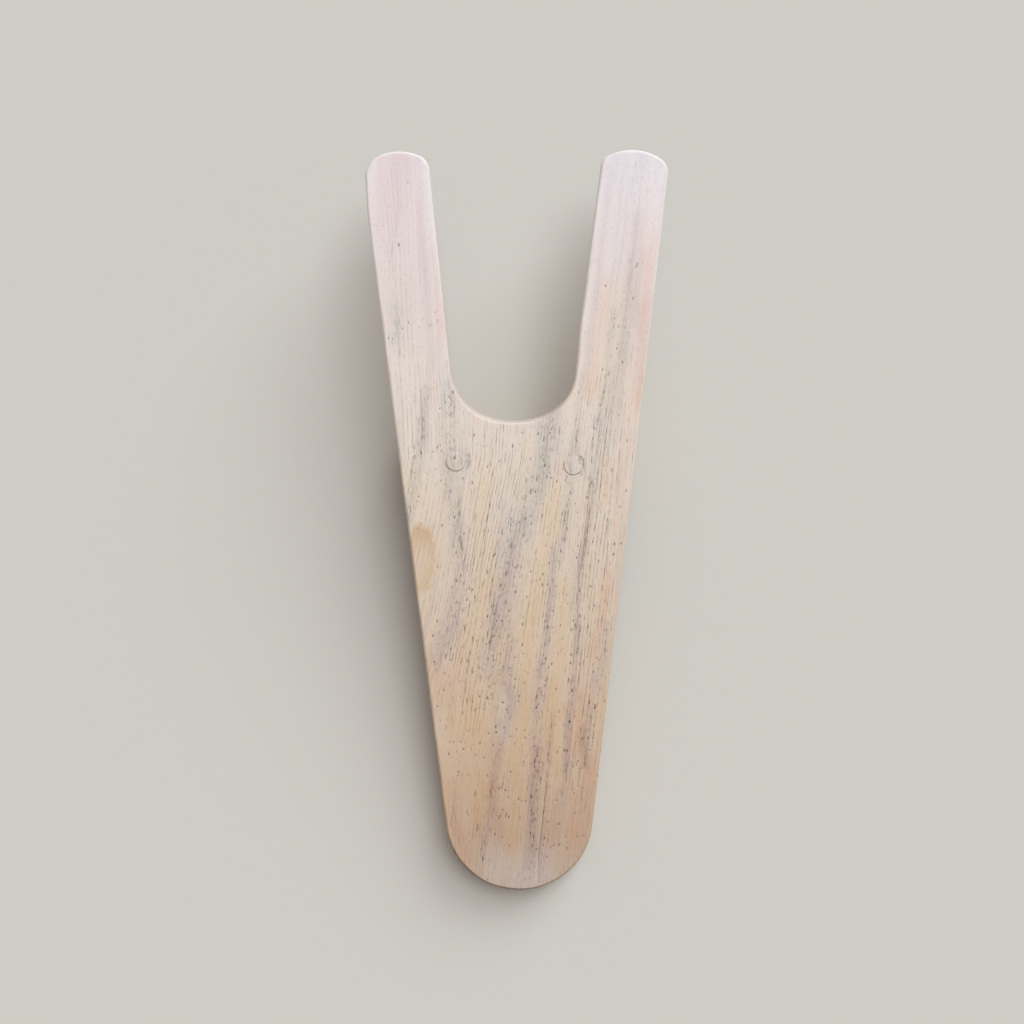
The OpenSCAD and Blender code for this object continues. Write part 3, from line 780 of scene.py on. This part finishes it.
def add_side(piece, p, n, hi, lo, share):
    """A vertex on the board's side, at a share of the way down between its two rounded edges."""
    w = BOARD_T - hi + (underside(p.y) + lo - BOARD_T + hi) * share
    saw_marks = 0.06 + 0.06 * noise.noise(Vector((p.x / 3, p.y / 3, w / 9)))
    q = p - n * (saw_marks + undercut(p, n, share))
    # Painted shade and dirt: the side darkens toward the tail, and on the notch's end wall.
    dirt = 0.2 + 0.6 * smooth(45, 5, p.y) + notch_painted_shade(p, n)
    # Painted light: the side is made paler near the tips and the notch, so that it reads as lit.
    return piece.add(q.x, q.y, w, dirt=dirt, rub=0.4 * rubbed_and_highlit(p))


def add_lower(piece, p, n, r, inset, rise):
    """A vertex on the rounded edge of the underside."""
    q = p - n * (inset * r + undercut(p, n, 1))
    # Painted highlight and wear: the lower rim is made paler near the tips and the notch.
    rub = 0.5 * rubbed_and_highlit(p) if inset < 1 else 0.0
    return piece.add(q.x, q.y, underside(q.y) + rise * r, dirt=0.4, rub=rub)


def add_edge(piece, points, normals):
    """The rings of the board's edge, from its top face to its underside."""
    upper_r = [EDGE_R * (1.0 + 0.30 * wave(p.x, p.y, 16, 1)) for p in points]
    lower_r = [EDGE_R * (0.9 + 0.25 * wave(p.x, p.y, 19, 2)) for p in points]
    places = list(zip(points, normals, upper_r, lower_r))
    rings = []
    for inset, drop in PROFILE:
        rings.append([add_upper(piece, p, n, hi, inset, drop) for p, n, hi, _ in places])
    for level in range(1, SIDE_LEVELS):
        share = level / SIDE_LEVELS
        rings.append([add_side(piece, p, n, hi, lo, share) for p, n, hi, lo in places])
    for inset, rise in PROFILE[::-1]:
        rings.append([add_lower(piece, p, n, lo, inset, rise) for p, n, _, lo in places])
    piece.lay_strip(rings)
    for a, b in zip(rings, rings[1:]):
        piece.join(a, b, "edge")
    return rings


def add_hole(piece, side):
    """The stepped hole under a plug. Returns its first ring, in the top face, and its last."""
    c, radius = SCREW_PLACES[side], BOARD_HOLE[0][0]
    mouth = [
        piece.add(p.x, p.y, BOARD_T - 0.12, ink=joint_dirt_and_shade(side, p), **top_marks(p.x, p.y))
        for p in circle(c, radius)]
    around = math.tau * radius / len(mouth)
    piece.strip.update({i: (k * around, 0.0) for k, i in enumerate(mouth)})
    last, depth = mouth, 0.0
    for (last_r, last_w), (r, w) in zip(BOARD_HOLE, BOARD_HOLE[1:]):
        # Painted shade: the walls of the bore are darkened as a recess.
        below = [piece.add(p.x, p.y, w, dirt=1.0) for p in circle(c, r)]
        depth += math.hypot(r - last_r, w - last_w)
        piece.strip.update({i: (k * around, depth) for k, i in enumerate(below)})
        piece.join(below, last, f"hole_{side}", inward=True)
        last = below
    return mouth, last


class TopFace:
    """The vertices inside the board's top face, and the places (centre, radius) that are taken."""

    def __init__(self, piece, rim):
        self.piece, self.rim, self.inner, self.taken = piece, rim, [], []

    def point(self, p, sink=0.0, **marks):
        w = BOARD_T + top_dip(p.x, p.y) - sink
        return self.piece.add(p.x, p.y, w, **marks, **top_marks(p.x, p.y))

    def add(self, p, sink=0.0, **marks):
        self.inner.append(self.point(p, sink, **marks))

    def is_free(self, p, room, least=0.0):
        """True if p has room beside the taken places, leaving out those no wider than the least."""
        return not any((p - q).length < r + room for q, r in self.taken if r > least)

    def add_collar(self, side):
        """Rings round a plug, with filler beside the joint on one side."""
        c = SCREW_PLACES[side]
        for radius, count in COLLAR:
            for p in circle(c, radius, count):
                filler = smooth(0.3, 0.8, (p - c).normalized().dot(FILLER_SIDE))
                putty = filler * (1 - smooth(6.2, 7.4, radius))
                sink = 0.03 if radius == COLLAR[0][0] else 0.0
                self.add(p, sink, putty=putty, ink=joint_dirt_and_shade(side, p))
        self.taken.append((c, COLLAR_ROOM))

    def add_crack(self):
        """The long crack from the tail, as a narrow groove. Returns the line of its floor."""
        floor = []
        for p in along_line(CRACK, 1.6):
            if not inside(self.rim, p, 1.2):
                continue
            deep = smooth(8, 24, p.y) * (1 - smooth(CRACK_DEEP_TO, CRACK_DEEP_TO + 30, p.y))
            half = 0.16 + 0.08 * deep
            p = p + Vector((0.3 * wave(p.x, p.y, 3, 4), 0))
            for across in (-half, half):
                self.add(p + Vector((across, 0)))
            shade = (0.25 + 0.65 * deep) * (0.7 + 0.8 * wave(p.x, p.y, 4, 6))
            floor.append(self.point(p, 0.1 + 0.3 * deep, pit=shade))
            self.taken.append((p, 1.3))
        self.inner += floor
        return floor

    def add_fine_lines(self):
        """The fine lines, as shallow grooves that are worn away here and there."""
        for line, shade in FINE_LINES:
            for p in along_line(line, 0.8):
                if not self.is_free(p, 0.3, 0.7):
                    continue
                p = p + Vector((0.25 * wave(p.x, p.y, 4, 4), 0))
                worn = smooth(-0.45, 0.25, wave(p.x, p.y, 2.6, 12))
                for across, share in ((-0.4, 0), (-0.12, 1), (0.12, 1), (0.4, 0)):
                    self.add(p + Vector((across, 0)), 0.05 * share * shade, pit=share * shade * worn)
                self.taken.append((p, 0.6))

    def add_pit(self, rng, c, long, wide, shade):
        """A dent along the grain, with an uneven outline."""
        lean = 0.13 + rng.uniform(-0.15, 0.15)
        ahead = Vector((math.sin(lean), math.cos(lean)))
        beside = Vector((ahead.y, -ahead.x))
        steps = max(3, round(long / 0.35))
        for k in range(steps + 1):
            t = 2 * k / steps - 1
            half = wide * math.sqrt(1 - 0.9 * t * t) * rng.uniform(0.8, 1.3)
            here = c + ahead * long * t + beside * wide * rng.uniform(-0.25, 0.25)
            end = k in (0, steps)
            for across, share in ((-1, 0), (-0.5, 0.9), (0.5, 0.9), (1, 0)):
                share = 0 if end else share * rng.uniform(0.8, 1.1)
                sink = share * (0.03 + 0.1 * shade)
                self.add(here + beside * across * half, sink, pit=min(share * shade, 1.0))
        self.taken.append((c, 0.6 * long + 0.3))

    def add_pits(self, rng):
        for v, u, long, wide, shade in pit_places(rng):
            c, long, wide = Vector((v, u)), 1.2 * long, 1.3 * wide
            if inside(self.rim, c, long + 1.0) and self.is_free(c, 0.55 * long):
                self.add_pit(rng, c, long, wide, shade)

    def add_rest(self):
        """Even vertices in the places left free. The taken ones are looked up in strips."""
        strip = 8
        near = {}
        for c, r in self.taken:
            for i in range(int((c.y - r) // strip), int((c.y + r) // strip) + 1):
                near.setdefault(i, []).append((c, r))
        for p in grid(self.rim, TOP_STEP, 1.2, 3):
            if all((p - c).length > r for c, r in near.get(int(p.y // strip), [])):
                self.add(p)


def pit_places(rng):
    """The pits that are listed, then smaller ones, scattered more toward the tail."""
    placed = [(v, u, long / 10, wide / 10, shade / 10) for v, u, long, wide, shade in PITS]
    for _ in range(SMALL_PITS):
        u = 6 + 240 * rng.random() ** 1.3
        v = rng.uniform(-1, 1) * (33 + u * 0.1)
        placed.append((v, u, rng.uniform(0.4, 1.0), rng.uniform(0.15, 0.24), rng.uniform(0.25, 0.55)))
    return placed


def outline_2d(piece, ring):
    return [piece.points[i].to_2d() for i in ring]


def make_board(material):
    piece = Piece()
    points, normals = even_loop(section("board", BOARD_T / 2), 1.25)
    points = [p - n * (tip_wear(p, n) - undercut(p, n, 1)) for p, n in zip(points, normals)]
    rings = add_edge(piece, points, normals)

    top = TopFace(piece, outline_2d(piece, rings[0]))
    mouths, feet = [], []
    for side in SCREW_PLACES:
        mouth, foot = add_hole(piece, side)
        mouths.append(mouth)
        feet.append(foot)
        top.add_collar(side)
    crack = top.add_crack()
    top.add_fine_lines()
    top.add_pits(random.Random(5))
    top.add_rest()
    hollow = [(c, BOARD_HOLE[0][0]) for c in SCREW_PLACES.values()]
    piece.fill([rings[0]] + mouths, top.inner, True, [crack], hollow, "top")

    under = outline_2d(piece, rings[-1])
    loose = []
    for p in grid(under, UNDER_STEP, 2.5, 4):
        if clear_of_screws(p, BOARD_HOLE[-1][0] + 2):
            loose.append(piece.add(p.x, p.y, underside(p.y), dirt=0.5))
    for v in range(-30, 31, 3):
        p = Vector((v, TAIL_FLAT))
        if inside(under, p, 1.2):
            loose.append(piece.add(p.x, p.y, 0.0, dirt=0.5))
    hollow = [(c, BOARD_HOLE[-1][0]) for c in SCREW_PLACES.values()]
    piece.fill([rings[-1]] + feet, loose, False, [], hollow, "under")
    board = piece.build("board_wood", material)
    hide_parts("board")


# The block under the board

# A height at which the block's outline is whole, and its rounded edges: in from the side, and down
# from the top or up from the foot
RISER_CUT = -8.0
RISER_TOP_EDGE = ((2.2, 0.0), (0.7, 0.0), (0.25, 0.12), (0.0, 0.6))
RISER_FOOT_EDGE = ((0.0, 0.9), (0.1, 0.4), (0.4, 0.1), (0.9, 0.0), (2.4, 0.0))
RISER_LEVELS = 12
RISER_STEP = 4.0


def riser_rings(piece):
    """The rings of the block's outside, from its top down."""
    places = list(zip(*even_loop(section("riser_block", RISER_CUT), 1.2)))
    drop, rise = RISER_TOP_EDGE[-1][1], RISER_FOOT_EDGE[0][1]
    rings = [
        [piece.add(*(p - n * inset), -down, dirt=0.5) for p, n in places]
        for inset, down in RISER_TOP_EDGE]
    for level in range(1, RISER_LEVELS):
        ring = []
        for p, n in places:
            w = -drop + (floor_height(p.y) + rise + drop) * level / RISER_LEVELS
            q = p - n * (0.05 + 0.05 * noise.noise(Vector((p.x / 5, p.y / 5, w / 1.5))))
            # The block's colour darkens from its top towards its foot.
            ring.append(piece.add(q.x, q.y, w, dirt=0.3 + 0.3 * level / RISER_LEVELS))
        rings.append(ring)
    for inset, up in RISER_FOOT_EDGE:
        spots = [p - n * inset for p, n in places]
        rings.append([piece.add(q.x, q.y, floor_height(q.y) + up, dirt=0.8) for q in spots])
    return rings


def make_riser(material):
    piece = Piece()
    rings = riser_rings(piece)
    for a, b in zip(rings, rings[1:]):
        piece.join(a, b)
    holes = []
    for c in SCREW_PLACES.values():
        mouth, foot = ([piece.add(p.x, p.y, w) for p in circle(c, r)] for r, w in RISER_HOLE)
        piece.join(foot, mouth, inward=True)
        piece.fill([foot], [], True)
        holes.append(mouth)
    radius = RISER_HOLE[0][0]
    places = grid(outline_2d(piece, rings[0]), RISER_STEP, 2.0, 8)
    loose = [piece.add(p.x, p.y, 0.0) for p in places if clear_of_screws(p, radius + 1.5)]
    hollow = [(c, radius) for c in SCREW_PLACES.values()]
    piece.fill([rings[0]] + holes, loose, True, [], hollow)
    places = grid(outline_2d(piece, rings[-1]), RISER_STEP, 2.0, 9)
    loose = [piece.add(p.x, p.y, floor_height(p.y), dirt=0.7) for p in places]
    piece.fill([rings[-1]], loose, False)
    block = piece.build("riser_block_wood", material)
    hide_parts("riser_block")


# Plugs over the screw heads

# Rings of a plug's side, from its foot (radius, height), and radii of the rings on its top
PLUG_SIDE = (
    (PLUG_R - 0.5, PLUG_FOOT), (PLUG_R, PLUG_FOOT + 0.4), (PLUG_R, BOARD_T - 0.25),
    (PLUG_R - 0.02, BOARD_T - 0.18), (PLUG_R - 0.14, BOARD_T - 0.13))
PLUG_TOP = (4.1, 3.4, 2.7, 2.0, 1.3, 0.65)


def make_plug(side, material):
    c = SCREW_PLACES[side]
    piece = Piece()
    rings = [
        [piece.add(p.x, p.y, w, ink=joint_dirt_and_shade(side, p)) for p in circle(c, radius)]
        for radius, w in PLUG_SIDE]
    for radius in PLUG_TOP:
        ring = []
        for p in circle(c, radius):
            w = BOARD_T - 0.15 + 0.03 * wave(p.x, p.y, 3, 9) + 0.02 * (PLUG_R - radius)
            ring.append(piece.add(p.x, p.y, w, ink=joint_dirt_and_shade(side, p), **top_marks(p.x, p.y)))
        rings.append(ring)
    for a, b in zip(rings, rings[1:]):
        piece.join(b, a)
    for ring, height, up in ((rings[-1], BOARD_T - 0.06, True), (rings[0], PLUG_FOOT, False)):
        middle = piece.add(c.x, c.y, height)
        for k in range(len(ring)):
            a, b = ring[k - 1], ring[k]
            piece.faces.append((a, b, middle) if up else (b, a, middle))
    plug = piece.build(f"plug_{side}_wood", material)
    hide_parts(f"plug_{side}")


# Materials

class Nodes:
    """Short ways to add shader nodes and to link them."""

    def __init__(self, name):
        self.material = bpy.data.materials.new(name)
        self.material.use_nodes = True
        self.tree = self.material.node_tree
        self.shader = self.tree.nodes["Principled BSDF"]

    def new(self, kind, inputs, **settings):
        """Outputs of a new node. inputs are values, colours or other nodes' outputs."""
        node = self.tree.nodes.new(kind)
        for k, value in settings.items():
            setattr(node, k, value)
        for k, value in inputs.items():
            self.put(value, node.inputs[k])
        return node.outputs

    def put(self, value, socket):
        if isinstance(value, bpy.types.NodeSocket):
            self.tree.links.new(value, socket)
        elif isinstance(value, tuple) and len(value) == 3 and len(socket.default_value) == 4:
            socket.default_value = (*value, 1)
        else:
            socket.default_value = value

    def finish(self, **inputs):
        """Sets the shader's own sockets, and returns the material."""
        for k, value in inputs.items():
            self.put(value, self.shader.inputs[k.replace("_", " ")])
        return self.material

    def stored(self, name, output):
        """A value that the mesh holds at each vertex."""
        return self.new("ShaderNodeAttribute", {}, attribute_name=name)[output]

    def mark(self, name):
        return self.stored(name, "Fac")

    def split(self, vector):
        return self.new("ShaderNodeSeparateXYZ", {0: vector})

    def math(self, kind, a, b=0.0):
        return self.new("ShaderNodeMath", {0: a, 1: b}, operation=kind)[0]

    def times(self, a, b):
        return self.math("MULTIPLY", a, b)

    def plus(self, a, b):
        return self.math("ADD", a, b)

    def scaled(self, vector, scale, shift):
        inputs = {"Vector": vector, "Scale": scale, "Location": shift}
        return self.new("ShaderNodeMapping", inputs)[0]

    def noise(self, vector, scale, shift=(0, 0, 0), detail=4.0, rough=0.55):
        place = self.scaled(vector, scale, shift)
        inputs = {"Vector": place, "Scale": 1.0, "Detail": detail, "Roughness": rough}
        return self.new("ShaderNodeTexNoise", inputs)["Fac"]

    def cells(self, vector, scale, shift):
        """The distance from the middle of the nearest cell, and a random number for that cell."""
        inputs = {"Vector": self.scaled(vector, scale, shift), "Scale": 1.0}
        cell = self.new("ShaderNodeTexVoronoi", inputs)
        return cell["Distance"], self.new("ShaderNodeSeparateColor", {0: cell["Color"]})[0]

    def between(self, value, lo, hi, out_lo=0.0, out_hi=1.0):
        inputs = {"Value": value, "From Min": lo, "From Max": hi, "To Min": out_lo, "To Max": out_hi}
        return self.new("ShaderNodeMapRange", inputs, interpolation_type="SMOOTHSTEP")[0]

    def mix(self, amount, a, b, blend="MIX"):
        inputs = {"Factor": amount, 6: a, 7: b}
        return self.new("ShaderNodeMix", inputs, data_type="RGBA", blend_type=blend, clamp_factor=True)[2]

    def ramp(self, value, stops):
        node = self.tree.nodes.new("ShaderNodeValToRGB")
        self.put(value, node.inputs[0])
        marks = node.color_ramp.elements
        while len(marks) < len(stops):
            marks.new(0.5)
        for mark, (at, colour) in zip(marks, stops):
            mark.position = at
            mark.color = (*colour, 1)
        return node.outputs["Color"]

    def level(self, value, stops):
        """A number that changes along a value, through these stops."""
        return self.ramp(value, [(at, (amount,) * 3) for at, amount in stops])


# Colours of the top face from the tail (0) to the tips (1). Besides the wood's own change, they hold
# painted light: the tips are made lighter and bluer as if lit more, and the tail darker as if in shade.
ALONG = [
    (0.0, srgb(193, 173, 154)), (0.08, srgb(198, 172, 149)), (0.2, srgb(211, 185, 160)),
    (0.38, srgb(222, 202, 181)), (0.55, srgb(230, 215, 200)), (0.68, srgb(236, 224, 214)),
    (0.82, srgb(239, 227, 223)), (1.0, srgb(244, 235, 240)),
]
RISER_COLOUR = srgb(206, 178, 148)
# Toward the tail the grey is a little lilac, and toward the plugs a little green
GREY_TINT = {"tail": srgb(236, 236, 250), "plugs": srgb(234, 240, 243)}
GOLD_TINT = srgb(256, 250, 234)
PINK_TINT = srgb(253, 240, 236)
PORE_TINT = srgb(205, 196, 196)
DARK_TINT = srgb(225, 221, 219)
SHARP_PORE_TINT = srgb(184, 174, 176)
MOTTLE_TINT = srgb(211, 209, 214)
SPECK_TINTS = (srgb(128, 118, 128), srgb(146, 120, 112))
STAIN_COLOUR = srgb(210, 178, 144)
DIRT_AND_SHADE_TINT = srgb(168, 156, 142)
JOINT_DIRT_AND_SHADE_TINT = srgb(150, 140, 138)
# Marks that cover the wood: how much of it at most, and the colour
COVERS = {
    "pale": (0.5, srgb(226, 216, 220)), "putty": (0.5, srgb(206, 200, 196)),
    # The paler rims: worn wash and painted highlight, near white.
    "rub": (0.75, srgb(240, 238, 238)),
}
PIT_COVER = (0.85, srgb(84, 74, 76))
# Shares of the board's length, with how strong the pore lines and how many the specks are there
PORES_ALONG = [(0.0, 0.8), (0.2, 0.8), (0.4, 1), (0.66, 0.9), (0.78, 0.45), (0.9, 0.15), (1.0, 0.1)]
SPECKS_ALONG = [(0.0, 0.22), (0.3, 0.2), (0.5, 0.14), (0.7, 0.08), (0.85, 0.03), (1.0, 0.01)]
# The two sizes of specks: cells a millimetre across and along the grain, shift, radius in cells
SPECKS = ((0.50, 0.19, (1, 2), 0.22), (0.30, 0.12, (7, 4), 0.16))
STEEL_COLOURS = (srgb(196, 192, 178), srgb(168, 162, 150))
PORE_PITCH = 1.75
# How far the rows of pores shift sideways for each millimetre below the top face
PORE_SLANT = 1.6


class Wood(Nodes):
    """Hardwood under a thin whitewash, laid up from broad bands down to single marks. Noise is
    given as its waves a millimetre across and along the grain."""

    def __init__(self, name, stops, across=False):
        """stops are the colours along the board; across turns the grain, for the block."""
        super().__init__(name)
        self.grain = self.stored("grain", "Vector")
        self.plan = self.stored("plan", "Vector")
        if across:
            turn = {"Vector": self.plan, "Rotation": (0, 0, math.radians(90))}
            self.grain = self.new("ShaderNodeMapping", turn)[0]
        self.u = self.math("DIVIDE", self.split(self.plan)["Y"], BOARD_LEN)
        self.fibre = self.split(self.grain)
        self.colour = self.ramp(self.u, stops)

    def tint(self, amount, by, share=None):
        """Multiplies the colour by another where the amount is high."""
        if share is not None:
            amount = self.times(amount, share)
        self.colour = self.mix(amount, self.colour, self.mix(1.0, self.colour, by, "MULTIPLY"))

    def cover(self, amount, share, by):
        """Lays a colour over the wood where the amount is high."""
        self.colour = self.mix(self.times(amount, share), self.colour, by)

    def streaks(self, across, along, shift, detail, rough=0.55):
        return self.noise(self.grain, (across, along, across), (*shift, 0), detail, rough)

    def blots(self, across, along, shift, detail=4.0, rough=0.55):
        return self.noise(self.plan, (across, along, across), (*shift, 0), detail, rough)


def lay_bands(n):
    """Broad soft bands along the grain."""
    grey, dark, gold, pink = (n.mark(name) for name in ("grey", "dark", "gold", "pink"))
    streaks = n.streaks(0.30, 0.010, (4, 0), 4, 0.6)
    cloud = n.blots(0.05, 0.025, (2, 7))
    uneven = n.between(n.streaks(0.35, 0.05, (7, 7), 3), 0.35, 0.62, 0.45, 1.1)
    grey_tint = n.mix(n.between(n.u, 0.4, 0.56), GREY_TINT["tail"], GREY_TINT["plugs"])
    n.tint(grey, grey_tint, uneven)
    n.tint(gold, GOLD_TINT, 0.8)
    n.tint(pink, PINK_TINT, 0.8)
    body = n.between(n.u, 0.9, 0.6, 0.3, 1.0)
    n.tint(n.between(cloud, 0.48, 0.72, 0, 0.45), GOLD_TINT, body)
    n.tint(n.between(streaks, 0.52, 0.72, 0, 0.6), grey_tint)
    n.tint(n.between(streaks, 0.48, 0.30, 0, 0.6), PINK_TINT)
    n.tint(dark, DARK_TINT, 0.6)
    return grey, dark, streaks


def pore_rows(n):
    """Rows of pores, in places further apart. Below the top face they lie slanted, so that on
    the sides they run along the board."""
    bend = n.streaks(0.09, 0.010, (6, 2), 2)
    below = n.math("MAXIMUM", n.math("SUBTRACT", BOARD_T - 0.5, n.fibre["Z"]), 0.0)
    lay = n.plus(n.fibre["X"], n.times(below, PORE_SLANT))
    phase = n.plus(n.times(lay, math.tau / PORE_PITCH), n.times(bend, 18))
    rows = n.between(n.math("SINE", phase), 0.3, 0.98)
    wider = n.between(n.math("SINE", n.times(phase, 0.73)), 0.45, 0.98)
    change = n.between(n.streaks(0.13, 0.012, (8, 6), 1), 0.46, 0.54)
    kept = n.times(rows, change)
    return n.plus(kept, n.times(wider, n.math("SUBTRACT", 1.0, change)))


def lay_pores(n):
    """Pore lines, broken up along their length and in places drawn sharper."""
    rows = pore_rows(n)
    broken = n.between(n.streaks(0.22, 0.035, (3, 1), 2), 0.40, 0.58, 0.12, 1.0)
    dashes = n.between(n.streaks(1.1, 0.16, (1, 5), 3), 0.36, 0.56, 0.1, 1.0)
    loose = n.between(n.streaks(2.1, 0.10, (9, 3), 2), 0.60, 0.74)
    fade = n.level(n.u, PORES_ALONG)
    pores = n.times(n.times(rows, broken), dashes)
    pores = n.math("MAXIMUM", pores, n.times(loose, 0.8))
    fade = n.times(fade, n.between(n.mark("lines"), 0.0, 0.9, 0.5, 1.15))
    pores = n.times(pores, fade)
    n.tint(pores, PORE_TINT, 0.8)
    sharp = n.between(n.streaks(1.4, 0.22, (4, 7), 2), 0.56, 0.66)
    n.tint(n.times(n.times(rows, sharp), fade), SHARP_PORE_TINT, 0.85)
    return pores


def lay_specks(n, grey, dark):
    """Short dark specks, crowded in the grey bands and toward the tail."""
    flecks = n.blots(1.0, 0.45, (5, 1), rough=0.65)
    n.tint(n.between(flecks, 0.55, 0.75, 0, 0.5), PORE_TINT)
    mottle = n.between(n.streaks(0.9, 0.28, (2, 9), 4, 0.7), 0.5, 0.68)
    n.tint(mottle, MOTTLE_TINT, n.between(grey, 0.1, 0.8, 0.15, 1.0))
    crowd = n.plus(n.times(grey, 0.5), n.times(dark, 0.3))
    crowd = n.plus(crowd, n.level(n.u, SPECKS_ALONG))
    crowd = n.times(crowd, n.between(n.u, 0.92, 0.66, 0.1, 1.0))
    specks = 0.0
    for across, along, shift, size in SPECKS:
        away, pick = n.cells(n.grain, (across, along, across), (*shift, 0))
        chosen = n.math("LESS_THAN", pick, crowd)
        dot = n.times(n.between(away, size, size * 0.45), chosen)
        specks = n.math("MAXIMUM", dot, specks)
    worn = n.blots(1.5, 0.9, (3, 3), 2)
    specks = n.times(specks, n.between(worn, 0.35, 0.6, 0.35, 1.0))
    ink = n.mix(n.between(n.blots(0.3, 0.2, (1, 8)), 0.45, 0.55), *SPECK_TINTS)
    n.tint(specks, ink, 0.9)
    return flecks, specks


def lay_marks(n, flecks):
    """The marks that the mesh holds: stain, wear and painted highlight, dirt and painted shade, and pits.
    """
    n.cover(n.mark("stain"), n.between(flecks, 0.2, 0.8, 0.85, 1.0), STAIN_COLOUR)
    for name, (share, colour) in COVERS.items():
        n.cover(n.mark(name), share, colour)
    # Dirt, and painted shade at the tail's rim and sides, on the notch's end wall and in the bores.
    n.tint(n.mark("dirt"), DIRT_AND_SHADE_TINT, 0.9)
    # Dirt in the joints round the plugs, and painted shade there.
    n.tint(n.mark("ink"), JOINT_DIRT_AND_SHADE_TINT, 0.8)
    n.cover(n.mark("pit"), *PIT_COVER)


def finish_wood(n, streaks, pores, specks, flecks):
    """A dull sheen, and shallow bumps at the pores and specks."""
    rough = n.between(streaks, 0.3, 0.7, 0.52, 0.66)
    height = n.times(n.math("MAXIMUM", pores, specks), -1.0)
    height = n.plus(height, n.times(flecks, 0.25))
    bump = n.new("ShaderNodeBump", {"Strength": 0.3, "Distance": 0.0002, "Height": height})
    return n.finish(
        Base_Color=n.colour, Roughness=rough, Specular_IOR_Level=0.3, Normal=bump["Normal"])


def wood(name, stops, across=False):
    n = Wood(name, stops, across)
    grey, dark, streaks = lay_bands(n)
    pores = lay_pores(n)
    flecks, specks = lay_specks(n, grey, dark)
    lay_marks(n, flecks)
    return finish_wood(n, streaks, pores, specks, flecks)


def steel(name):
    """Dull, faintly yellow steel with soft blotches and fine marks of turning."""
    n = Nodes(name)
    where = n.new("ShaderNodeTexCoord", {})["Object"]
    turned = n.noise(where, (300, 300, 2600), detail=3)
    blotch = n.noise(where, (400, 400, 400), (3, 3, 3))
    colour = n.mix(n.between(blotch, 0.4, 0.7), *STEEL_COLOURS)
    rough = n.between(turned, 0.3, 0.7, 0.28, 0.45)
    return n.finish(Base_Color=colour, Metallic=1.0, Roughness=rough)


make_camera()
make_light()
make_floor()
board_paint = wood("board_wood_paint", ALONG)
riser_paint = wood("riser_wood_paint", [(0.0, RISER_COLOUR), (1.0, RISER_COLOUR)], across=True)
make_board(board_paint)
make_riser(riser_paint)
steel_paint = steel("screw_steel_paint")
for side in SCREW_PLACES:
    make_plug(side, board_paint)
    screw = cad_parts[f"screw_{side}"]
    screw.data.materials.clear()
    screw.data.materials.append(steel_paint)
